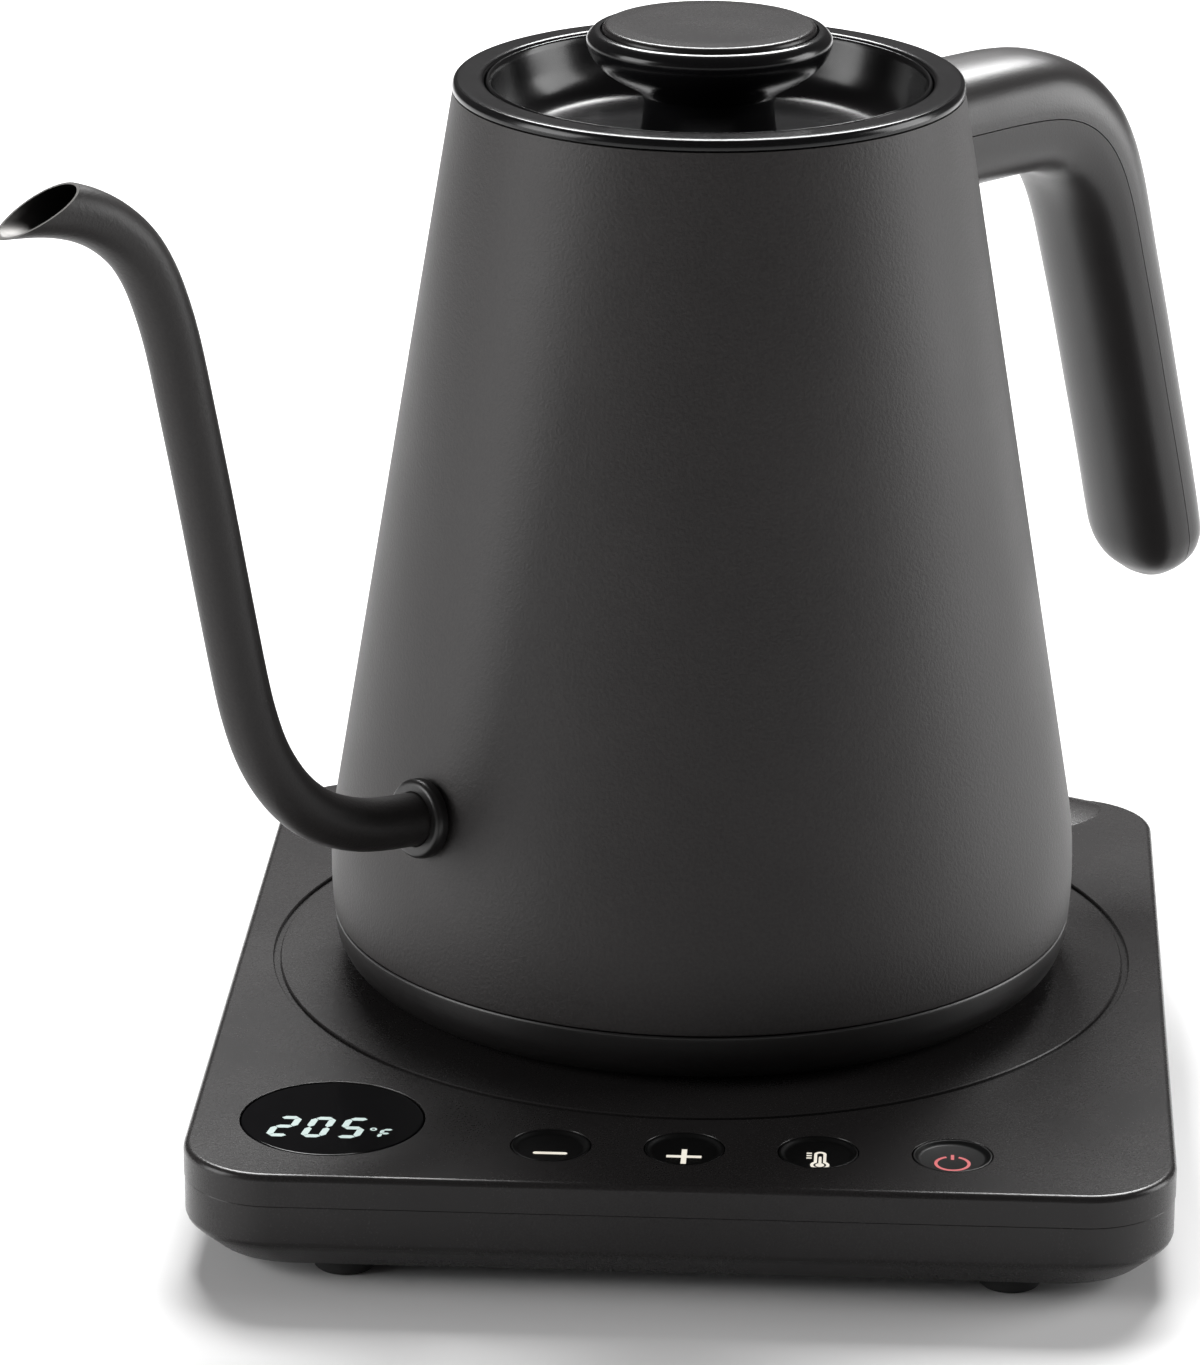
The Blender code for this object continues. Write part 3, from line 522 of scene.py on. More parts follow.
def make_finishes():
    colours = bpy.context.scene.kettle_colours
    paint, plastic = tuple(colours.body_paint), tuple(colours.base_plastic)
    moulded("body_paint", paint, 0.5, 1700.0, 0.08, specular=0.36, contrast=0.8)
    # Spout paint is the body paint darkened to three quarters: painted shade on the thin tube.
    moulded("shaded_spout_paint", shade_of(paint, 0.75)[:3], 0.44, 1700.0, 0.06, specular=0.3, contrast=0.6)
    moulded("satin_plastic", plastic, 0.27, 2600.0, 0.02, specular=0.3, spread=0.05)
    moulded("handle_plastic", tuple(colours.handle_plastic), 0.34, 2300.0, 0.03)
    moulded("band_plastic", shade_of(plastic, 0.55)[:3], 0.36, 2600.0, 0.02)
    moulded("gloss_plastic", (0.005, 0.005, 0.0055), 0.2, 900.0, 0.004, specular=0.35, spread=0.05)
    moulded("button_plastic", (0.004, 0.004, 0.004), 0.4, 2600.0, 0.01, specular=0.2)
    moulded("display_glass", (0.003, 0.003, 0.0035), 0.1, 300.0, 0.001, specular=0.12, spread=0.03)
    moulded("soft_rubber", (0.016, 0.016, 0.016), 0.78, 1500.0, 0.06)
    moulded("clear_silicone", (0.42, 0.42, 0.4), 0.5, 900.0, 0.02)
    moulded("inner_plastic", (0.6, 0.6, 0.57), 0.45, 1200.0, 0.02)
    moulded("display_film", (0.07, 0.09, 0.09), 0.35, 900.0, 0.01)
    metal("brushed_steel", (0.56, 0.56, 0.57), 0.3, 900.0, 0.01, (1.0, 1.0, 26.0))
    # Dark copy of the bare steel for the spout's bore and cut mouth: painted shade.
    metal("shaded_rim_steel", (0.1, 0.097, 0.094), 0.5, 900.0, 0.004, (1.0, 1.0, 6.0))
    metal("contact_brass", (0.8, 0.58, 0.26), 0.28, 1200.0, 0.008, (1.0, 1.0, 12.0))
    metal("copper_winding", (0.62, 0.28, 0.12), 0.4, 500.0, 0.12, (0.2, 6.0, 0.2))
    mixed_board("circuit_board")
    lit_ink("display_ink", tuple(colours.display_light), 1.0)
    lit_ink("white_ink", tuple(colours.button_light), 1.0)
    lit_ink("red_ink", tuple(colours.power_light), 1.0)


def paint(obj, finish, body, *nodes, slot=None):
    """Gives a new piece its finish, the body that it rides on and the nodes that it stands for; its slot is not used.
    """
    if not obj.data.materials:
        obj.data.materials.append(FINISHES[finish])
    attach(obj, body)
    if nodes:
        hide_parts(*nodes)
    return obj


def two_finishes(obj, first, second, test):
    """A second finish on the faces that pass a test of middle, in millimetres, and normal."""
    obj.data.materials.append(FINISHES[first])
    obj.data.materials.append(FINISHES[second])
    for face in obj.data.polygons:
        face.material_index = 1 if test(face.center / MM, face.normal) else 0


def keep_nodes(finish, *nodes):
    """Better material for a node that is shown as it is."""
    for name in nodes:
        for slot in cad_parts[name].material_slots:
            slot.material = FINISHES[finish]


# Middle line of the spout from its root to its tip: reach and height
SPOUT_LINE = [
    (62.2, 41.6), (68.7, 42.5), (74.0, 43.1), (79.4, 44.1), (84.4, 45.8), (89.6, 48.5),
    (94.4, 52.5), (98.4, 57.5), (101.6, 63.3), (104.0, 70.0), (105.9, 77.6), (109.0, 92.7),
    (112.5, 110.2), (116.0, 126.8), (118.5, 138.1), (120.7, 145.5), (123.2, 151.6), (126.3, 156.5),
    (130.3, 160.4), (134.8, 163.3), (139.8, 165.3), (145.5, 166.6), (152.6, 167.4), (158.6, 167.8),
]
# Ends of the oblique cut at the spout's tip
MOUTH = (Vector((136.9, 0.0, 169.9)), Vector((150.6, 0.0, 163.8)))
# Seam line of the handle: reach, height, depth outside and inside the seam, and share of the width
HANDLE_LINE = [
    (43.0, 148.3, 10.2, 12.6, 1.0), (55.1, 148.5, 10.3, 12.6, 1.0), (64.7, 148.6, 10.4, 12.6, 1.0),
    (72.7, 148.3, 10.6, 12.3, 1.0), (78.4, 147.3, 10.8, 11.7, 1.0), (83.6, 145.1, 10.8, 11.0, 1.0),
    (88.0, 141.5, 10.5, 10.2, 1.0), (91.3, 136.9, 9.9, 9.3, 1.0), (93.9, 131.2, 9.3, 8.2, 1.0),
    (96.1, 124.6, 8.8, 7.5, 1.0), (98.3, 116.7, 8.6, 7.1, 1.0), (102.0, 103.6, 8.4, 6.9, 1.0),
    (105.7, 89.5, 8.3, 6.8, 1.0), (109.6, 74.9, 8.2, 6.8, 1.0), (112.9, 61.4, 8.1, 6.7, 1.0),
    (113.8, 57.2, 7.9, 6.5, 0.95), (114.5, 54.4, 7.2, 6.0, 0.83), (115.05, 52.4, 6.1, 5.1, 0.66),
    (115.4, 51.0, 4.8, 4.0, 0.48), (115.65, 50.2, 3.3, 2.8, 0.32),
]
# Outline of the hump, and its levels: share of that outline and rise over the plate
HUMP_LINE = [
    (66.0, 96.4), (72.5, 95.2), (75.6, 91.4), (75.0, 87.0), (72.0, 82.6), (67.6, 79.2), (61.5, 77.6),
    (55.0, 78.0), (47.0, 80.4), (38.0, 84.6), (29.0, 89.2), (20.0, 92.8), (12.0, 95.2), (8.0, 96.4),
]
HUMP_LEVELS = [
    (0.98, 0.12), (0.9, 0.42), (0.8, 0.78), (0.7, 1.12), (0.6, 1.44), (0.5, 1.76), (0.4, 2.06), (0.3, 2.35),
    (0.2, 2.62), (0.12, 2.8),
]


def vessel_line(offset, low, high):
    """Outer line of the vessel in millimetres, moved outwards by an offset."""
    line = [(67.6, low), (67.72, 12.4), (67.85, 14.5), (67.95, 17.5), (67.94, 20.5), (67.82, 24.0), (67.55, 27.5)]
    heights = [31.0, 35.0, 45.0, 60.0, 80.0, 100.0, 120.0, 140.0, 155.0, 161.0, high]
    line += [(67.1 - 21.9 * (height - 31.0) / 132.3, height) for height in heights]
    return [(radius + offset, height) for radius, height in line]


def tangents(line):
    """Direction of a line at each of its points, as an angle from Z towards X."""
    angles = []
    for i in range(len(line)):
        before, after = line[max(i - 1, 0)], line[min(i + 1, len(line) - 1)]
        angles.append(math.atan2(after[0] - before[0], after[1] - before[1]))
    return angles


def round_hole(obj, radius, lip, place, sides=96):
    """Cuts a round hole with a small rounded lip in the plate."""
    low, high = PLATE - HOLE_DEPTH, PLATE + 1.0
    profile = [
        (0.0, low), (radius, low), (radius, PLATE - lip), (radius + 0.08 * lip, PLATE - 0.6 * lip),
        (radius + 0.4 * lip, PLATE - 0.08 * lip), (radius + lip, PLATE + 0.01), (radius + 1.6 * lip, high),
        (0.0, high),
    ]
    bore(obj, profile, sides, place.x, place.y)


def cord_hole(obj):
    """Cuts the cord's way out through the back wall."""
    bore(obj, [(0.0, 90.5), (4.6, 90.5), (4.6, 100.5), (0.0, 100.5)], 64, *CORD_PLACE)


def cross(size, width):
    """Outline of a plus sign."""
    a, b = size / 2.0, width / 2.0
    return [(a, -b), (a, b), (b, b), (b, a), (-b, a), (-b, b),
            (-a, b), (-a, -b), (-b, -b), (-b, -a), (b, -a), (b, -b)]


def screw(name, head, low, shank, high, *place):
    """Pan head screw with a cross recess, its head at the bottom."""
    profile = soft_profile(
        [(0.0, low, 0.0), (head, low, 0.35), (head, low + 1.0, 0.1), (shank, low + 1.0, 0.1), (shank, high, 0.3),
         (0.0, high, 0.0)], 2)
    recess = flat_piece("tool", cross(head * 1.2, head * 0.3), low - 0.4, low + 0.6)
    return settle(carve(turned(name, profile, 32), recess), *place)


def copies(model, nodes, finish, body, z=0.0):
    """Puts a copy of a model in place of each node, then removes the model."""
    for node in nodes:
        place = middle(node)
        paint(copied(model, f"{node}_skin", place.x, place.y, z), finish, body, node)
    discard(model)


class KettleSizes(bpy.types.PropertyGroup):
    """Sizes of the details that the frame leaves open."""

    plate_edge: bpy.props.FloatProperty(
        name="Plate edge", description="Rounding of the base's top edge", default=0.0011, min=0.0, unit="LENGTH")
    groove_width: bpy.props.FloatProperty(
        name="Groove width", description="Width of the ring groove in the plate", default=0.0012, min=0.0002,
        unit="LENGTH")
    groove_radius: bpy.props.FloatProperty(
        name="Groove radius", description="Radius of the ring groove around the kettle", default=0.0782, min=0.07,
        unit="LENGTH")
    hole_lip: bpy.props.FloatProperty(
        name="Hole lip", description="Rounding at the display and button holes", default=0.00014, min=0.0001,
        unit="LENGTH")
    handle_width: bpy.props.FloatProperty(
        name="Handle width", description="Width of the handle across its grip", default=0.0255, min=0.01, unit="LENGTH")
    handle_squareness: bpy.props.FloatProperty(
        name="Handle squareness", description="Two for an oval section, more for a squarer one", default=2.4, min=2.0)
    spout_wall: bpy.props.FloatProperty(
        name="Spout wall", description="Wall of the spout tube", default=0.0004, min=0.0003, unit="LENGTH")
    digit_height: bpy.props.FloatProperty(
        name="Digit height", description="Height of the numbers in the display", default=0.0076, min=0.002,
        unit="LENGTH")
    digit_slant: bpy.props.FloatProperty(
        name="Digit slant", description="Lean of the numbers", default=math.radians(11.0), subtype="ANGLE")


class KettleColours(bpy.types.PropertyGroup):
    """Colours of the finishes."""

    body_paint: bpy.props.FloatVectorProperty(
        name="Body paint", description="Powder coat of the vessel", default=(0.0248, 0.0226, 0.0223), subtype="COLOR")
    base_plastic: bpy.props.FloatVectorProperty(
        name="Base plastic", description="Moulding of the base", default=(0.0185, 0.0172, 0.0172), subtype="COLOR")
    handle_plastic: bpy.props.FloatVectorProperty(
        name="Handle plastic", description="Moulding of the handle", default=(0.0230, 0.0214, 0.0214), subtype="COLOR")
    display_light: bpy.props.FloatVectorProperty(
        name="Display light", description="Lit numbers", default=(0.52, 0.66, 0.63), subtype="COLOR")
    button_light: bpy.props.FloatVectorProperty(
        name="Button light", description="Lit button symbols", default=(0.92, 0.87, 0.76), subtype="COLOR")
    power_light: bpy.props.FloatVectorProperty(
        name="Power light", description="Lit power symbol", default=(0.72, 0.14, 0.15), subtype="COLOR")


class KettleStudio(bpy.types.PropertyGroup):
    """Camera and lights."""

    lens: bpy.props.FloatProperty(name="Lens", description="Focal length", default=162.9, subtype="DISTANCE_CAMERA")
    distance: bpy.props.FloatProperty(
        name="Camera distance", description="From the aim point", default=1.0967, unit="LENGTH")
    azimuth: bpy.props.FloatProperty(
        name="Azimuth", description="Camera turn from the front", default=math.radians(3.18), subtype="ANGLE")
    elevation: bpy.props.FloatProperty(
        name="Elevation", description="Camera height as an angle", default=math.radians(19.40), subtype="ANGLE")
    roll: bpy.props.FloatProperty(
        name="Roll", description="Camera roll", default=math.radians(0.22), subtype="ANGLE")
    aim: bpy.props.FloatVectorProperty(
        name="Aim", description="Point at the middle of the frame", default=(-0.007708, -0.018642, 0.083042),
        subtype="TRANSLATION")
    floor_colour: bpy.props.FloatVectorProperty(
        name="Floor", description="Colour of the floor", default=(0.86, 0.86, 0.86), subtype="COLOR")
    brightness: bpy.props.FloatProperty(name="Brightness", description="Scale of all the lights", default=1.0, min=0.0)


class KETTLE_OT_base_cover(bpy.types.Operator):
    """Flat top of the base, with its ring groove, its holes and the low hump over the cord"""

    bl_idname = "kettle.base_cover"
    bl_label = "Base cover"

    def hump(self):
        """Low hump whose levels shrink towards the back edge as they rise."""
        height, scale = PLATE - 0.2, 1.0
        hump = flat_piece("hump", smooth_line(HUMP_LINE, 4), PLATE - 1.2, height)
        settle(hump, BASE.x, BASE.y)
        choose(hump, lambda p, face: face.normal.z > 0.9)
        for next_scale, rise in HUMP_LEVELS:
            ratio = next_scale / scale
            extrude_level(height, PLATE + rise, (ratio, ratio), BASE.x + CORD_X, BASE.y + 96.4)
            height, scale = PLATE + rise, next_scale
        return close_up(hump)

    def execute(self, context):
        sizes = context.scene.kettle_sizes
        cover = rounded_block("base_cover_skin", [(0.0, COVER_LOW), (0.0, PLATE)])
        choose(cover, lambda p, face: face.normal.z < -0.9)
        bpy.ops.mesh.inset(thickness=BASE_WALL * MM)
        extrude_up(PLATE - COVER_THICKNESS - COVER_LOW)
        choose(cover, lambda p, edge: p.z > PLATE - 0.01, "EDGE")
        bpy.ops.mesh.bevel(offset=sizes.plate_edge, segments=5, affect="EDGES")
        carve(cover, self.hump(), "UNION")
        half = sizes.groove_width / MM / 2.0
        inner, outer = sizes.groove_radius / MM - half, sizes.groove_radius / MM + half
        low, high, edge = PLATE - GROOVE_DEPTH, PLATE + 1.0, 0.2
        bore(cover, [
            (inner, low), (outer, low), (outer, PLATE - edge), (outer + edge, PLATE + 0.01), (outer + edge, high),
            (inner - edge, high), (inner - edge, PLATE + 0.01), (inner, PLATE - edge),
        ], 180, AXIS.x, AXIS.y)
        lip = sizes.hole_lip / MM
        round_hole(cover, SOCKET_HOLE, 0.6, AXIS)
        round_hole(cover, DISPLAY_HOLE, lip, middle("display_lens"), 128)
        for label in BUTTONS:
            round_hole(cover, BUTTON_HOLE, lip, middle(f"button_{label}"))
        cord_hole(cover)
        paint(even_shading(cover), "satin_plastic", "base", "base_top_cover")
        return {"FINISHED"}


class KETTLE_OT_base_housing(bpy.types.Operator):
    """Tray of the base with its tapered underside, and the gland at the back"""

    bl_idname = "kettle.base_housing"
    bl_label = "Base housing and gland"

    def execute(self, context):
        levels = [(0.12, TRAY_TOP), (0.12, 9.0), (0.4, 8.1), (1.2, 7.0), (4.3, 3.45), (5.6, 3.0)]
        housing = rounded_block("base_housing_skin", levels)
        choose(housing, lambda p, face: face.normal.z > 0.9)
        bpy.ops.mesh.inset(thickness=BASE_WALL * MM)
        extrude_up(-TRAY_DEPTH)
        choose(housing, lambda p, edge: p.z > TRAY_TOP - 0.01, "EDGE")
        bpy.ops.mesh.bevel(offset=0.12 * MM, segments=2, affect="EDGES")
        seat = [(0.0, 1.0), (3.1, 1.0), (3.1, 6.1), (1.6, 6.1), (1.6, 9.5), (0.0, 9.5)]
        well = [(0.0, 1.0), (6.6, 1.0), (6.6, 2.6), (5.9, 3.2), (5.75, 4.2), (0.0, 4.2)]
        for nodes, profile, sides in ((BASE_SCREWS, seat, 32), (FEET, well, 48)):
            for node in nodes:
                place = middle(node)
                bore(housing, profile, sides, place.x, place.y)
        cord_hole(housing)
        paint(even_shading(housing), "satin_plastic", "base", "base_lower_housing")
        wall = BASE_SIZE[1] / 2.0
        gland = soft_profile(
            [(3.2, wall - 5.2, 0.3), (5.2, wall - 5.2, 0.2), (5.2, wall - 3.6, 0.1), (4.4, wall - 3.6, 0.1),
             (4.4, wall + 0.2, 0.1), (5.4, wall + 0.3, 0.2), (5.1, wall + 1.3, 0.4), (3.2, wall + 1.3, 0.4)])
        gland = settle(turned("cord_gland_skin", gland, 64), *CORD_PLACE)
        paint(gland, "soft_rubber", "base", "cord_inlet_gland")
        return {"FINISHED"}


class KETTLE_OT_feet(bpy.types.Operator):
    """Rubber feet and the screws under the base"""

    bl_idname = "kettle.feet"
    bl_label = "Feet and screws"

    def execute(self, context):
        profile = soft_profile(
            [(0.0, 0.5, 0.0), (2.6, 0.5, 0.2), (3.1, 0.0, 0.2), (4.9, 0.0, 0.3), (5.5, 0.6, 0.3), (5.5, 3.9, 0.2),
             (0.0, 3.9, 0.0)])
        copies(turned("foot_model", profile, 64), FEET, "soft_rubber", "base")
        copies(screw("screw_model", 2.8, 4.0, 1.2, 14.6), BASE_SCREWS, "brushed_steel", "base")
        return {"FINISHED"}


class KETTLE_OT_display(bpy.types.Operator):
    """Round display window and its lit numbers"""

    bl_idname = "kettle.display"
    bl_label = "Display"

    def execute(self, context):
        sizes = context.scene.kettle_sizes
        place = middle("display_lens")
        profile = soft_profile(
            [(0.0, -2.3, 0.0), (15.9, -2.3, 0.2), (15.9, -0.3, 0.3), (15.55, -0.05, 0.25), (0.0, -0.05, 0.0)])
        lens = settle(turned("display_window", profile, 128), place.x, place.y, PLATE)
        paint(lens, "display_glass", "base", "display_lens")
        tall, slant = sizes.digit_height / MM, math.tan(sizes.digit_slant)
        parts = []
        for i, bars in enumerate(("abged", "abcdef", "afgcd")):
            parts += self.number(bars, -10.3 + 5.95 * i, -7.7, 3.1, tall, 1.2, slant)
        parts += self.number("aef", 8.6, -7.5, 1.6, 3.2, 0.7, slant)
        parts += self.number("g", 8.6, -7.5, 1.6, 3.2, 0.7, slant, 0.85)
        ring = [(0.3, 0.0), (0.62, 0.0), (0.62, BAR_HEIGHT), (0.3, BAR_HEIGHT)]
        parts.append(settle(turned("degree", ring, 24), 7.5, -4.2))
        numbers = settle(joined(parts), place.x, place.y, PLATE - BAR_DEPTH)
        numbers.name = "display_numbers"
        paint(numbers, "display_ink", "base")
        return {"FINISHED"}

    def number(self, bars, x, y, wide, tall, width, slant, share=1.0):
        """Lit bars of one number, pointed at both ends, whose lower left corner is at x and y."""
        places = {
            "a": (wide / 2.0, 1.0, False), "g": (wide / 2.0, 0.5, False), "d": (wide / 2.0, 0.0, False),
            "f": (0.0, 0.75, True), "b": (wide, 0.75, True), "e": (0.0, 0.25, True), "c": (wide, 0.25, True),
        }
        made = []
        for bar in bars:
            across, level, upright = places[bar]
            a = ((tall / 2.0 if upright else wide) * share - 0.16 * width) / 2.0
            b = width / 2.0
            outline = []
            for along, beside in ((a, 0.0), (a - b, b), (b - a, b), (-a, 0.0), (b - a, -b), (a - b, -b)):
                if upright:
                    along, beside = -beside, along
                height = level * tall + beside
                outline.append((x + across + along + height * slant, y + height))
            made.append(flat_piece("bar", outline, 0.0, BAR_HEIGHT))
        return made


class KETTLE_OT_buttons(bpy.types.Operator):
    """Four dished caps with their lit symbols"""

    bl_idname = "kettle.buttons"
    bl_label = "Buttons"

    def execute(self, context):
        dish = [(6.66, 0.0), (6.5, 0.0), (6.38, -0.06), (6.2, -0.2), (6.0, -0.38), (5.8, -0.5), (5.6, -0.57),
                (5.4, -0.6)]
        profile = [(0.0, -3.6), (7.6, -3.6), (7.7, -3.5), (7.7, -2.9), (7.6, -2.8), (6.8, -2.8), (6.8, -0.3),
                   (6.8, -0.14), (6.76, -0.04), *dish, (0.0, -0.6)]
        model = turned("cap_model", profile, 72)
        for label in BUTTONS:
            node = f"button_{label}"
            place = middle(node)
            paint(copied(model, f"{node}_cap", place.x, place.y, PLATE), "button_plastic", node, node)
            symbol = getattr(self, label)()
            symbol.name = f"symbol_{label}"
            settle(symbol, place.x, place.y - 2.1, PLATE)
            paint(symbol, "red_ink" if label == "power" else "white_ink", node)
        discard(model)
        return {"FINISHED"}

    def flat_symbol(self, outline):
        return flat_piece("symbol", outline, SYMBOL_LOW, SYMBOL_HIGH)

    def minus(self):
        return self.flat_symbol(arc(2.5, 0.0, 0.45, -90, 90, 6) + arc(-2.5, 0.0, 0.45, 90, 270, 6))

    def plus(self):
        return self.flat_symbol(cross(6.0, 0.92))

    def preset(self):
        stem, bulb = 1.05, 1.65
        base = math.degrees(math.asin(stem / bulb))
        outer = arc(0.35, -2.1, bulb, 90 + base, 450 - base, 24) + arc(0.35, 2.4, stem, 0, 180, 10)
        inner = arc(0.35, -2.1, 1.12, 118, 422, 20) + arc(0.35, 2.35, 0.53, 0, 180, 8)
        core = arc(0.35, -2.1, 0.75, 110, 430, 16) + arc(0.35, 1.2, 0.24, 0, 180, 4)
        parts = [carve(self.flat_symbol(outer), flat_piece("tool", inner, -0.8, 0.0)), self.flat_symbol(core)]
        for y in (0.55, 1.55, 2.55):
            parts.append(self.flat_symbol([(-2.0, y), (-1.1, y), (-1.1, y + 0.45), (-2.0, y + 0.45)]))
        return joined(parts)

    def power(self):
        ring = arc(0.0, 0.0, 3.1, 112, 428, 40) + arc(0.0, 0.0, 2.55, 428, 112, 40)
        tick = [(-0.28, 1.6), (0.28, 1.6), (0.28, 3.6), (-0.28, 3.6)]
        return joined([self.flat_symbol(ring), self.flat_symbol(tick)])


def seated(name, corners, finish, body, node, sides=96, round_steps=3):
    """Turned piece around the kettle's axis, its heights measured from the plate."""
    piece = settle(turned(name, soft_profile(corners, round_steps), sides), AXIS.x, AXIS.y, PLATE)
    return paint(piece, finish, body, node)


class KETTLE_OT_connector(bpy.types.Operator):
    """Socket in the base, plug under the kettle and their brass contacts"""

    bl_idname = "kettle.connector"
    bl_label = "Connector"

    def execute(self, context):
        seated("base_socket_skin", [
            (0.0, -9.3, 0), (19.0, -9.3, 0.3), (19.0, -4.7, 0.1), (24.0, -4.7, 0.2), (24.0, -2.7, 0.2),
            (20.6, -2.7, 0.2), (20.6, 6.6, 0.6), (18.6, 8.4, 0.8), (15.8, 8.4, 0.4), (15.8, -4.0, 0.1),
            (11.4, -4.0, 0.1), (11.4, 8.4, 0.4), (5.4, 8.4, 0.4), (4.4, 7.4, 0.4), (4.4, -5.0, 0.1), (0.0, -5.0, 0),
        ], "satin_plastic", "base", "base_socket")
        seated("socket_centre_skin", [(2.7, -4.7, 0.1), (4.1, -4.7, 0.1), (4.1, 4.0, 0.3), (2.7, 4.0, 0.3)],
               "contact_brass", "base", "socket_centre_contact", 48)
        seated("socket_ring_skin", [(14.3, -3.7, 0.1), (15.5, -3.7, 0.1), (15.5, 4.0, 0.3), (14.3, 4.0, 0.3)],
               "contact_brass", "base", "socket_ring_contact")
        seated("plug_skin", [
            (0.0, 12.2, 0), (2.7, 12.2, 0.1), (2.7, 9.0, 0.3), (11.4, 9.0, 0.3), (11.4, 12.2, 0.1), (14.0, 12.2, 0.1),
            (14.0, 9.0, 0.3), (22.6, 9.0, 0.5), (22.6, 14.2, 0.5), (0.0, 14.2, 0),
        ], "inner_plastic", "plug", "kettle_plug")
        seated("plug_pin_skin", [(0.0, -3.4, 0), (1.7, -3.4, 0.5), (2.3, -2.4, 0.5), (2.3, 11.9, 0.1), (0.0, 11.9, 0)],
               "contact_brass", "plug", "plug_centre_pin", 48)
        seated("plug_ring_skin", [(11.8, -3.2, 0.4), (13.6, -3.2, 0.4), (13.6, 11.9, 0.1), (11.8, 11.9, 0.1)],
               "contact_brass", "plug", "plug_ring_contact")
        return {"FINISHED"}


class KETTLE_OT_vessel(bpy.types.Operator):
    """Painted steel wall of the kettle, bright inside, and its floor"""

    bl_idname = "kettle.vessel"
    bl_label = "Vessel"

    def execute(self, context):
        outer = vessel_line(0.0, 11.1, 163.3)
        inner = vessel_line(-1.0, 10.8, 163.3)
        vessel = turned("vessel_skin", [(67.3, 10.8), (67.5, 10.88)] + outer + inner[::-1], 180)
        hole = [(0.0, -12.0), (SPOUT_RADIUS + 0.1, -12.0), (SPOUT_RADIUS + 0.1, 6.0), (0.0, 6.0)]
        x, z = SPOUT_LINE[1]
        bore(vessel, hole, 48, x, 0.0, z, 0.0, tangents(SPOUT_LINE)[1])
        settle(vessel, AXIS.x, AXIS.y, PLATE, SPOUT_TURN)
        even_shading(vessel)
        two_finishes(vessel, "body_paint", "brushed_steel", lambda p, n: n.xy.dot(p.xy - AXIS.xy) < 0.0)
        paint(vessel, "body_paint", "kettle", "vessel_body")
        seated("vessel_floor_skin", [
            (0.0, 16.2, 0), (64.5, 16.2, 0.1), (64.7, 12.4, 0.1), (66.2, 12.4, 0.1), (66.4, 16.8, 0.4),
            (65.3, 17.6, 0.6), (50.0, 17.6, 0.1), (0.0, 17.6, 0),
        ], "brushed_steel", "kettle", "vessel_floor", 160)
        return {"FINISHED"}


class KETTLE_OT_lower_band(bpy.types.Operator):
    """Moulded band and underside of the kettle, with its screws"""

    bl_idname = "kettle.lower_band"
    bl_label = "Lower band"

    def execute(self, context):
        outer = smooth_line([(58.8, 0.3), (62.5, 1.1), (65.4, 3.3), (67.0, 6.4), (67.48, 10.1)], 4)
        inner = [(65.3, 10.5), (64.9, 7.0), (63.3, 4.6), (60.3, 2.9), (25.2, 2.9), (25.2, 14.8), (23.0, 14.8),
                 (23.0, 0.6), (23.1, 0.4), (23.3, 0.3)]
        profile = outer + [(67.44, 10.35), (67.3, 10.5)] + inner
        band = settle(turned("lower_band", profile, 180), AXIS.x, AXIS.y, PLATE)
        seat = [(0.0, -1.0), (3.0, -1.0), (3.0, 1.7), (1.5, 1.7), (1.5, 4.0), (0.0, 4.0)]
        for node in BAND_SCREWS:
            place = middle(node)
            bore(band, seat, 32, place.x, place.y, PLATE)
        copies(screw("screw_model", 2.6, 0.5, 1.2, 15.0), BAND_SCREWS, "brushed_steel", "kettle", PLATE)
        paint(even_shading(band), "band_plastic", "kettle", "bottom_cover")
        return {"FINISHED"}


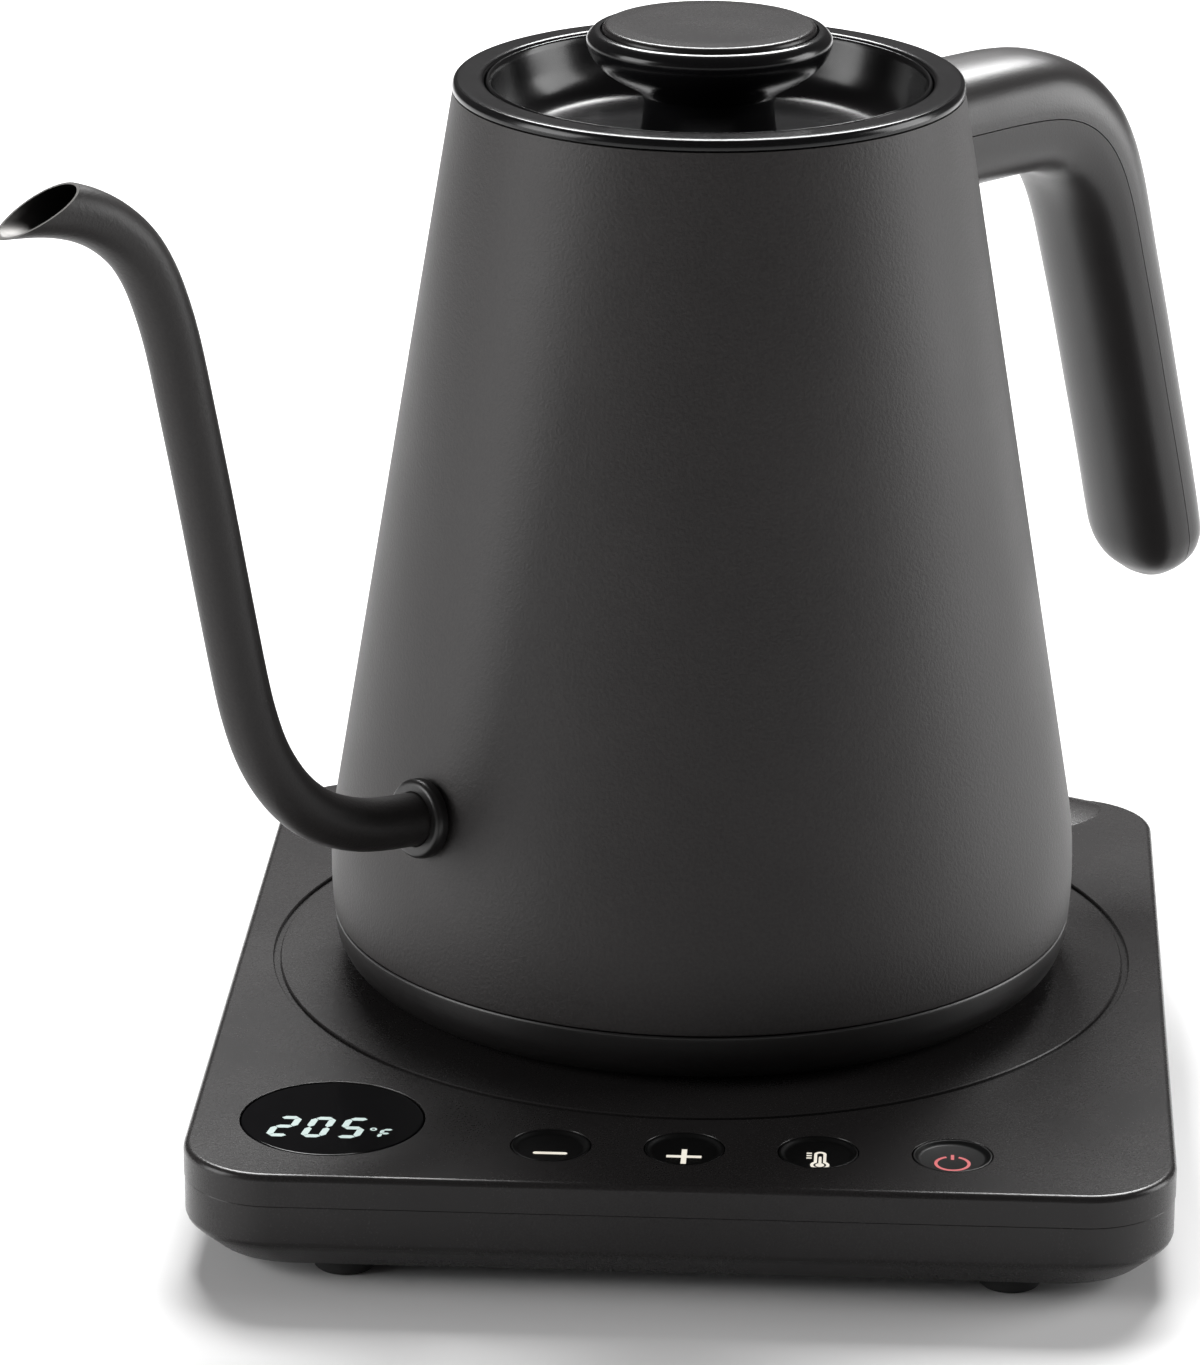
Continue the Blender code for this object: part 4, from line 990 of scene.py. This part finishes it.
class KETTLE_OT_spout(bpy.types.Operator):
    """Bent tube with its oblique mouth, and the ring at its root"""

    bl_idname = "kettle.spout"
    bl_label = "Spout"

    def tube(self, radius, line, sides):
        stations = [(x, z, angle, 1.0, 1.0) for (x, z), angle in zip(line, tangents(line))]
        x, z, angle = stations[0][:3]
        deselect()
        bpy.ops.mesh.primitive_circle_add(
            vertices=sides, radius=radius * MM, fill_type="NGON", location=(x * MM, 0.0, z * MM),
            rotation=(0.0, angle, 0.0))
        obj = bpy.context.object
        edit_all()
        follow(obj, stations)
        settle(obj)
        return close_up(obj)

    def execute(self, context):
        wall = context.scene.kettle_sizes.spout_wall / MM
        line = smooth_line(SPOUT_LINE, 4)
        spout = self.tube(SPOUT_RADIUS, line, 48)
        spout.name = "spout_skin"
        path = [Vector((x, 0.0, z)) for x, z in line]
        before, after = 2.0 * path[0] - path[1], 2.0 * path[-1] - path[-2]
        longer = [(before.x, before.z), *line, (after.x, after.z)]
        carve(spout, self.tube(SPOUT_RADIUS - wall, longer, 40))
        along = (MOUTH[1] - MOUTH[0]).normalized()
        outward = Vector((-along.z, 0.0, along.x))
        centre = ((MOUTH[0] + MOUTH[1]) / 2.0 + outward * 30.0) * MM
        deselect()
        bpy.ops.mesh.primitive_cube_add(size=0.06, location=centre, rotation=(0, math.atan2(-along.z, along.x), 0))
        carve(spout, bpy.context.object)

        def bare(p, normal):
            """Faces of the bore and of the cut mouth are left unpainted: they take the darkened steel, painted shade
            inside the tube and on its mouth.
            """
            in_bore = min((p - point).length for point in path) < SPOUT_RADIUS - wall * 0.6
            return in_bore or (abs((p - MOUTH[0]).dot(outward)) < 0.02 and p.z > 150.0)

        # Both finishes of the spout are darkened: painted shade on the tube, its bore and its mouth.
        two_finishes(spout, "shaded_spout_paint", "shaded_rim_steel", bare)
        settle(even_shading(spout, 40.0), AXIS.x, AXIS.y, PLATE, SPOUT_TURN)
        # The spout's darkened paint is painted shade.
        paint(spout, "shaded_spout_paint", "kettle", "spout_tube")
        ring = soft_profile(
            [(4.8, 0.0, 0.1), (7.1, 0.0, 0.15), (7.1, 1.5, 0.5), (6.5, 2.3, 0.5), (4.8, 2.3, 0.25)])
        ring = settle(turned("spout_ring", ring, 64), 66.0, 0.0, 42.12, 0.0, tangents(SPOUT_LINE)[1])
        settle(ring, AXIS.x, AXIS.y, PLATE, SPOUT_TURN)
        paint(ring, "band_plastic", "kettle", "spout_collar", slot="gloss_plastic")
        return {"FINISHED"}


class KETTLE_OT_handle(bpy.types.Operator):
    """Two shells of the handle, which meet on a seam, and their screw"""

    bl_idname = "kettle.handle"
    bl_label = "Handle"

    def shell(self, name, side, shrink, line, sizes):
        """One shell: side -1 lies outside the seam line, +1 inside it. A shrunken one is its hollow."""
        width = sizes.handle_width / MM
        stations = []
        for (x, z, outer, inner, share), angle in zip(line, tangents(line)):
            full = outer if side < 0 else inner
            stations.append((x, z, angle, width * share - 2.0 * shrink, full - shrink))
        x, z, angle, wide, deep = stations[0]
        face = 0.1 if shrink == 0.0 else -0.6
        power = 2.0 / sizes.handle_squareness
        section = []
        steps = 32
        for step in range(steps + 1):
            turn = math.pi * step / steps
            across = math.copysign(abs(math.cos(turn)) ** power, math.cos(turn)) * wide / 2.0
            out = max(math.sin(turn) ** power * deep, face) if 0 < step < steps else face
            section.append((side * out, across))
        obj = outlined(name, section, 0.0)
        bpy.ops.transform.rotate(value=-angle, orient_axis="Y", center_override=(0.0, 0.0, 0.0))
        bpy.ops.transform.translate(value=(x * MM, 0.0, z * MM))
        follow(obj, stations)
        settle(obj)
        return close_up(obj)

    def execute(self, context):
        sizes = context.scene.kettle_sizes
        line = smooth_line(HANDLE_LINE, 4)
        angles = tangents(HANDLE_LINE)
        first, second = HANDLE_LINE[2], HANDLE_LINE[3]
        lean = (angles[2] + angles[3]) / 2.0
        inner = first[3]
        x = (first[0] + second[0]) / 2.0 + math.cos(lean) * inner
        z = (first[1] + second[1]) / 2.0 - math.sin(lean) * inner
        lean -= QUARTER
        for label, side in (("outer", -1), ("inner", 1)):
            shell = self.shell(f"handle_{label}_skin", side, 0.0, line, sizes)
            hollow = line[:-16]
            hollow[0] = (line[0][0] - 2.0, *line[0][1:])
            carve(shell, self.shell("tool", side, 2.4, hollow, sizes))
            cone = [(0.0, 100.0), (56.0, 100.0), (43.5, 175.0), (0.0, 175.0)]
            weld(carve(shell, turned("tool", cone, 180)))
            if side > 0:
                seat = [(0.0, -2.0), (3.0, -2.0), (3.0, 1.1), (1.7, 1.1), (1.7, 16.0), (0.0, 16.0)]
                weld(bore(shell, seat, 32, x, 0.0, z, 0.0, lean))
            soften(shell, 0.28, 2, 55.0)
            even_shading(shell, 30.0)
            settle(shell, AXIS.x, AXIS.y, PLATE, HANDLE_TURN)
            paint(shell, "handle_plastic", "kettle", f"handle_{label}_shell")
        piece = screw("handle_screw_skin", 2.6, 0.2, 1.3, inner + 2.6, x, 0.0, z, 0.0, lean)
        settle(piece, AXIS.x, AXIS.y, PLATE, HANDLE_TURN)
        paint(piece, "brushed_steel", "kettle", "handle_screw")
        return {"FINISHED"}


class KETTLE_OT_collar(bpy.types.Operator):
    """Glossy ring around the mouth of the vessel"""

    bl_idname = "kettle.collar"
    bl_label = "Top collar"

    def execute(self, context):
        seated("top_collar_skin", [
            (39.6, 152.0, 0.2), (44.0, 152.0, 0.2), (43.9, 163.55, 0.1), (45.3, 163.6, 0.2), (45.35, 164.4, 0.6),
            (44.9, 165.3, 0.7), (44.0, 165.5, 0.5), (40.3, 165.5, 0.5), (39.6, 164.9, 0.5),
        ], "gloss_plastic", "kettle", "top_collar", 180, 4)
        return {"FINISHED"}


class KETTLE_OT_lid(bpy.types.Operator):
    """Dished lid with its seal and steel underplate"""

    bl_idname = "kettle.lid"
    bl_label = "Lid"

    def execute(self, context):
        wall = smooth_line([(38.6, 164.9), (37.8, 161.5), (36.9, 158.6), (35.4, 156.1), (33.2, 154.4), (30.0, 153.5),
                            (26.0, 153.3)], 3)
        corners = [(2.4, 151.2, 0.1), (36.0, 151.2, 0.3), (39.2, 153.4, 0.5), (39.45, 164.7, 0.4), (39.0, 165.35, 0.4)]
        corners += [(x, z, 0.0) for x, z in wall] + [(14.0, 153.3, 0.0), (2.4, 153.3, 0.1)]
        seated("lid_dish_skin", corners, "gloss_plastic", "lid", "lid_dish", 160, 4)
        seated("lid_seal_skin", [
            (36.6, 147.4, 0.3), (39.1, 148.4, 0.5), (39.3, 149.8, 0.5), (38.6, 150.8, 0.4), (36.6, 150.8, 0.2),
        ], "soft_rubber", "lid", "lid_seal", 160)
        seated("lid_underplate_skin", [
            (2.4, 146.6, 0.1), (35.6, 146.6, 0.6), (36.3, 147.4, 0.4), (36.3, 150.8, 0.2), (34.9, 150.8, 0.2),
            (34.9, 148.0, 0.3), (2.4, 148.0, 0.1),
        ], "brushed_steel", "lid", "lid_underplate", 160)
        return {"FINISHED"}


class KETTLE_OT_knob(bpy.types.Operator):
    """Waisted knob of the lid with its flat cap and its screw"""

    bl_idname = "kettle.knob"
    bl_label = "Knob"

    def execute(self, context):
        side = smooth_line([(13.4, 153.6), (12.1, 156.0), (11.6, 159.6), (11.8, 162.4), (13.2, 163.8), (16.6, 165.8),
                            (19.2, 167.6), (20.8, 169.5), (21.6, 171.4), (21.6, 172.7), (20.9, 173.6)], 4)
        profile = [(0.0, 162.0), (2.4, 162.0), (2.4, 153.6)] + side
        profile += [(20.5, 173.95), (19.95, 174.15), (19.6, 174.18), (19.3, 174.1), (19.2, 173.9), (19.2, 172.8),
                    (0.0, 172.8)]
        knob = settle(turned("knob_skin", profile, 128), AXIS.x, AXIS.y, PLATE)
        paint(knob, "gloss_plastic", "lid", "knob_body")
        seated("knob_cap_skin", [
            (0.0, 173.1, 0), (18.9, 173.1, 0.1), (18.9, 174.4, 0.4), (18.3, 175.0, 0.5), (15.0, 175.1, 0.2),
            (0.0, 175.1, 0),
        ], "satin_plastic", "lid", "knob_cap", 128)
        piece = screw("knob_screw_skin", 4.2, 144.4, 2.0, 161.0, AXIS.x, AXIS.y, PLATE)
        paint(piece, "brushed_steel", "lid", "knob_screw")
        return {"FINISHED"}


class KETTLE_OT_inner_parts(bpy.types.Operator):
    """Finishes for the parts inside the base and the kettle"""

    bl_idname = "kettle.inner_parts"
    bl_label = "Inner parts"

    def execute(self, context):
        keep_nodes("brushed_steel", "spout_filter", "heating_element", "temperature_probe", "handle_bracket",
                   *(f"switch_{label}" for label in BUTTONS))
        keep_nodes("inner_plastic", "dry_boil_cutout", "heater_relay")
        keep_nodes("clear_silicone", "bottom_seal")
        keep_nodes("display_film", "display_module")
        keep_nodes("circuit_board", "control_board", "power_board")
        keep_nodes("copper_winding", "power_transformer")
        keep_nodes("satin_plastic", "buzzer")
        return {"FINISHED"}


class KETTLE_OT_stage(bpy.types.Operator):
    """Wide pale floor, soft lights and the camera"""

    bl_idname = "kettle.stage"
    bl_label = "Stage"

    def light(self, name, place, target, size, power):
        data = bpy.data.lights.new(name, "AREA")
        data.shape = "RECTANGLE"
        data.size, data.size_y = size
        data.energy = power * bpy.context.scene.kettle_studio.brightness
        obj = bpy.data.objects.new(name, data)
        bpy.context.scene.collection.objects.link(obj)
        obj.location = place
        obj.rotation_euler = (Vector(target) - Vector(place)).to_track_quat("-Z", "Y").to_euler()

    def execute(self, context):
        studio = context.scene.kettle_studio
        deselect()
        bpy.ops.mesh.primitive_plane_add(size=1.0)
        floor = context.object
        floor.name = "floor"
        edit_all()
        bpy.ops.transform.resize(value=(30.0, 30.0, 1.0))
        bpy.ops.mesh.subdivide(number_cuts=3)
        settle(floor)
        finish = Finish("floor_sheet", Roughness=0.9, **{"Specular IOR Level": 0.1})
        pale = tuple(studio.floor_colour)
        finish.feed(Base_Color=finish.blend(finish.grain(3.0), shade_of(pale, 0.99), shade_of(pale, 1.01)))
        floor.data.materials.append(finish.material)
        self.light("back", (0.0, 1.45, 1.7), (0.0, 0.0, 0.0), (1.4, 0.75), 98.0)
        self.light("left", (-1.35, -0.42, 0.5), (0.0, 0.0, 0.1), (0.8, 0.9), 15.0)
        self.light("right", (1.3, 0.25, 0.45), (0.0, 0.0, 0.1), (0.7, 0.9), 13.0)
        world = bpy.data.worlds.new("studio")
        context.scene.world = world
        world.use_nodes = True
        background = world.node_tree.nodes["Background"]
        background.inputs["Color"].default_value = (1.0, 0.95, 0.955, 1.0)
        background.inputs["Strength"].default_value = 0.08
        data = bpy.data.cameras.new("camera")
        data.lens = studio.lens
        data.sensor_width = 36.0
        data.clip_start, data.clip_end = 0.05, 30.0
        camera = bpy.data.objects.new("camera", data)
        context.scene.collection.objects.link(camera)
        a, e, r = studio.azimuth, studio.elevation, studio.roll
        back = Vector((math.sin(a) * math.cos(e), -math.cos(a) * math.cos(e), math.sin(e)))
        right = Vector((math.cos(a), math.sin(a), 0.0))
        up = back.cross(right)
        turned_right = right * math.cos(r) + up * math.sin(r)
        turned_up = back.cross(turned_right)
        rotation = Matrix((turned_right, turned_up, back)).transposed()
        camera.rotation_euler = rotation.to_euler()
        camera.location = Vector(studio.aim) + back * studio.distance
        context.scene.camera = camera
        context.scene.view_settings.view_transform = "Standard"
        return {"FINISHED"}


OPERATORS = (
    KETTLE_OT_base_cover, KETTLE_OT_base_housing, KETTLE_OT_feet, KETTLE_OT_display, KETTLE_OT_buttons,
    KETTLE_OT_connector, KETTLE_OT_vessel, KETTLE_OT_lower_band, KETTLE_OT_spout, KETTLE_OT_handle, KETTLE_OT_collar,
    KETTLE_OT_lid, KETTLE_OT_knob, KETTLE_OT_inner_parts, KETTLE_OT_stage,
)


class KETTLE_PT_panel(bpy.types.Panel):
    """Lists the kettle's sizes, colours, pieces and stage"""

    bl_idname = "KETTLE_PT_panel"
    bl_label = "Kettle"
    bl_space_type = "VIEW_3D"
    bl_region_type = "UI"
    bl_category = "Kettle"

    def draw(self, context):
        for group in (context.scene.kettle_sizes, context.scene.kettle_colours, context.scene.kettle_studio):
            box = self.layout.box()
            for name in group.bl_rna.properties.keys():
                if name not in ("rna_type", "name"):
                    box.prop(group, name)
        for operator in OPERATORS:
            self.layout.operator(operator.bl_idname)


GROUPS = {"kettle_sizes": KettleSizes, "kettle_colours": KettleColours, "kettle_studio": KettleStudio}


def register():
    for name, group in GROUPS.items():
        bpy.utils.register_class(group)
        setattr(bpy.types.Scene, name, bpy.props.PointerProperty(type=group))
    for shown in (*OPERATORS, KETTLE_PT_panel):
        bpy.utils.register_class(shown)


def unregister():
    for shown in reversed((*OPERATORS, KETTLE_PT_panel)):
        bpy.utils.unregister_class(shown)
    for name, group in GROUPS.items():
        delattr(bpy.types.Scene, name)
        bpy.utils.unregister_class(group)


def main():
    register()
    make_finishes()
    for operator in OPERATORS:
        getattr(bpy.ops.kettle, operator.bl_idname.split(".")[1])()


if __name__ == "__main__":
    main()
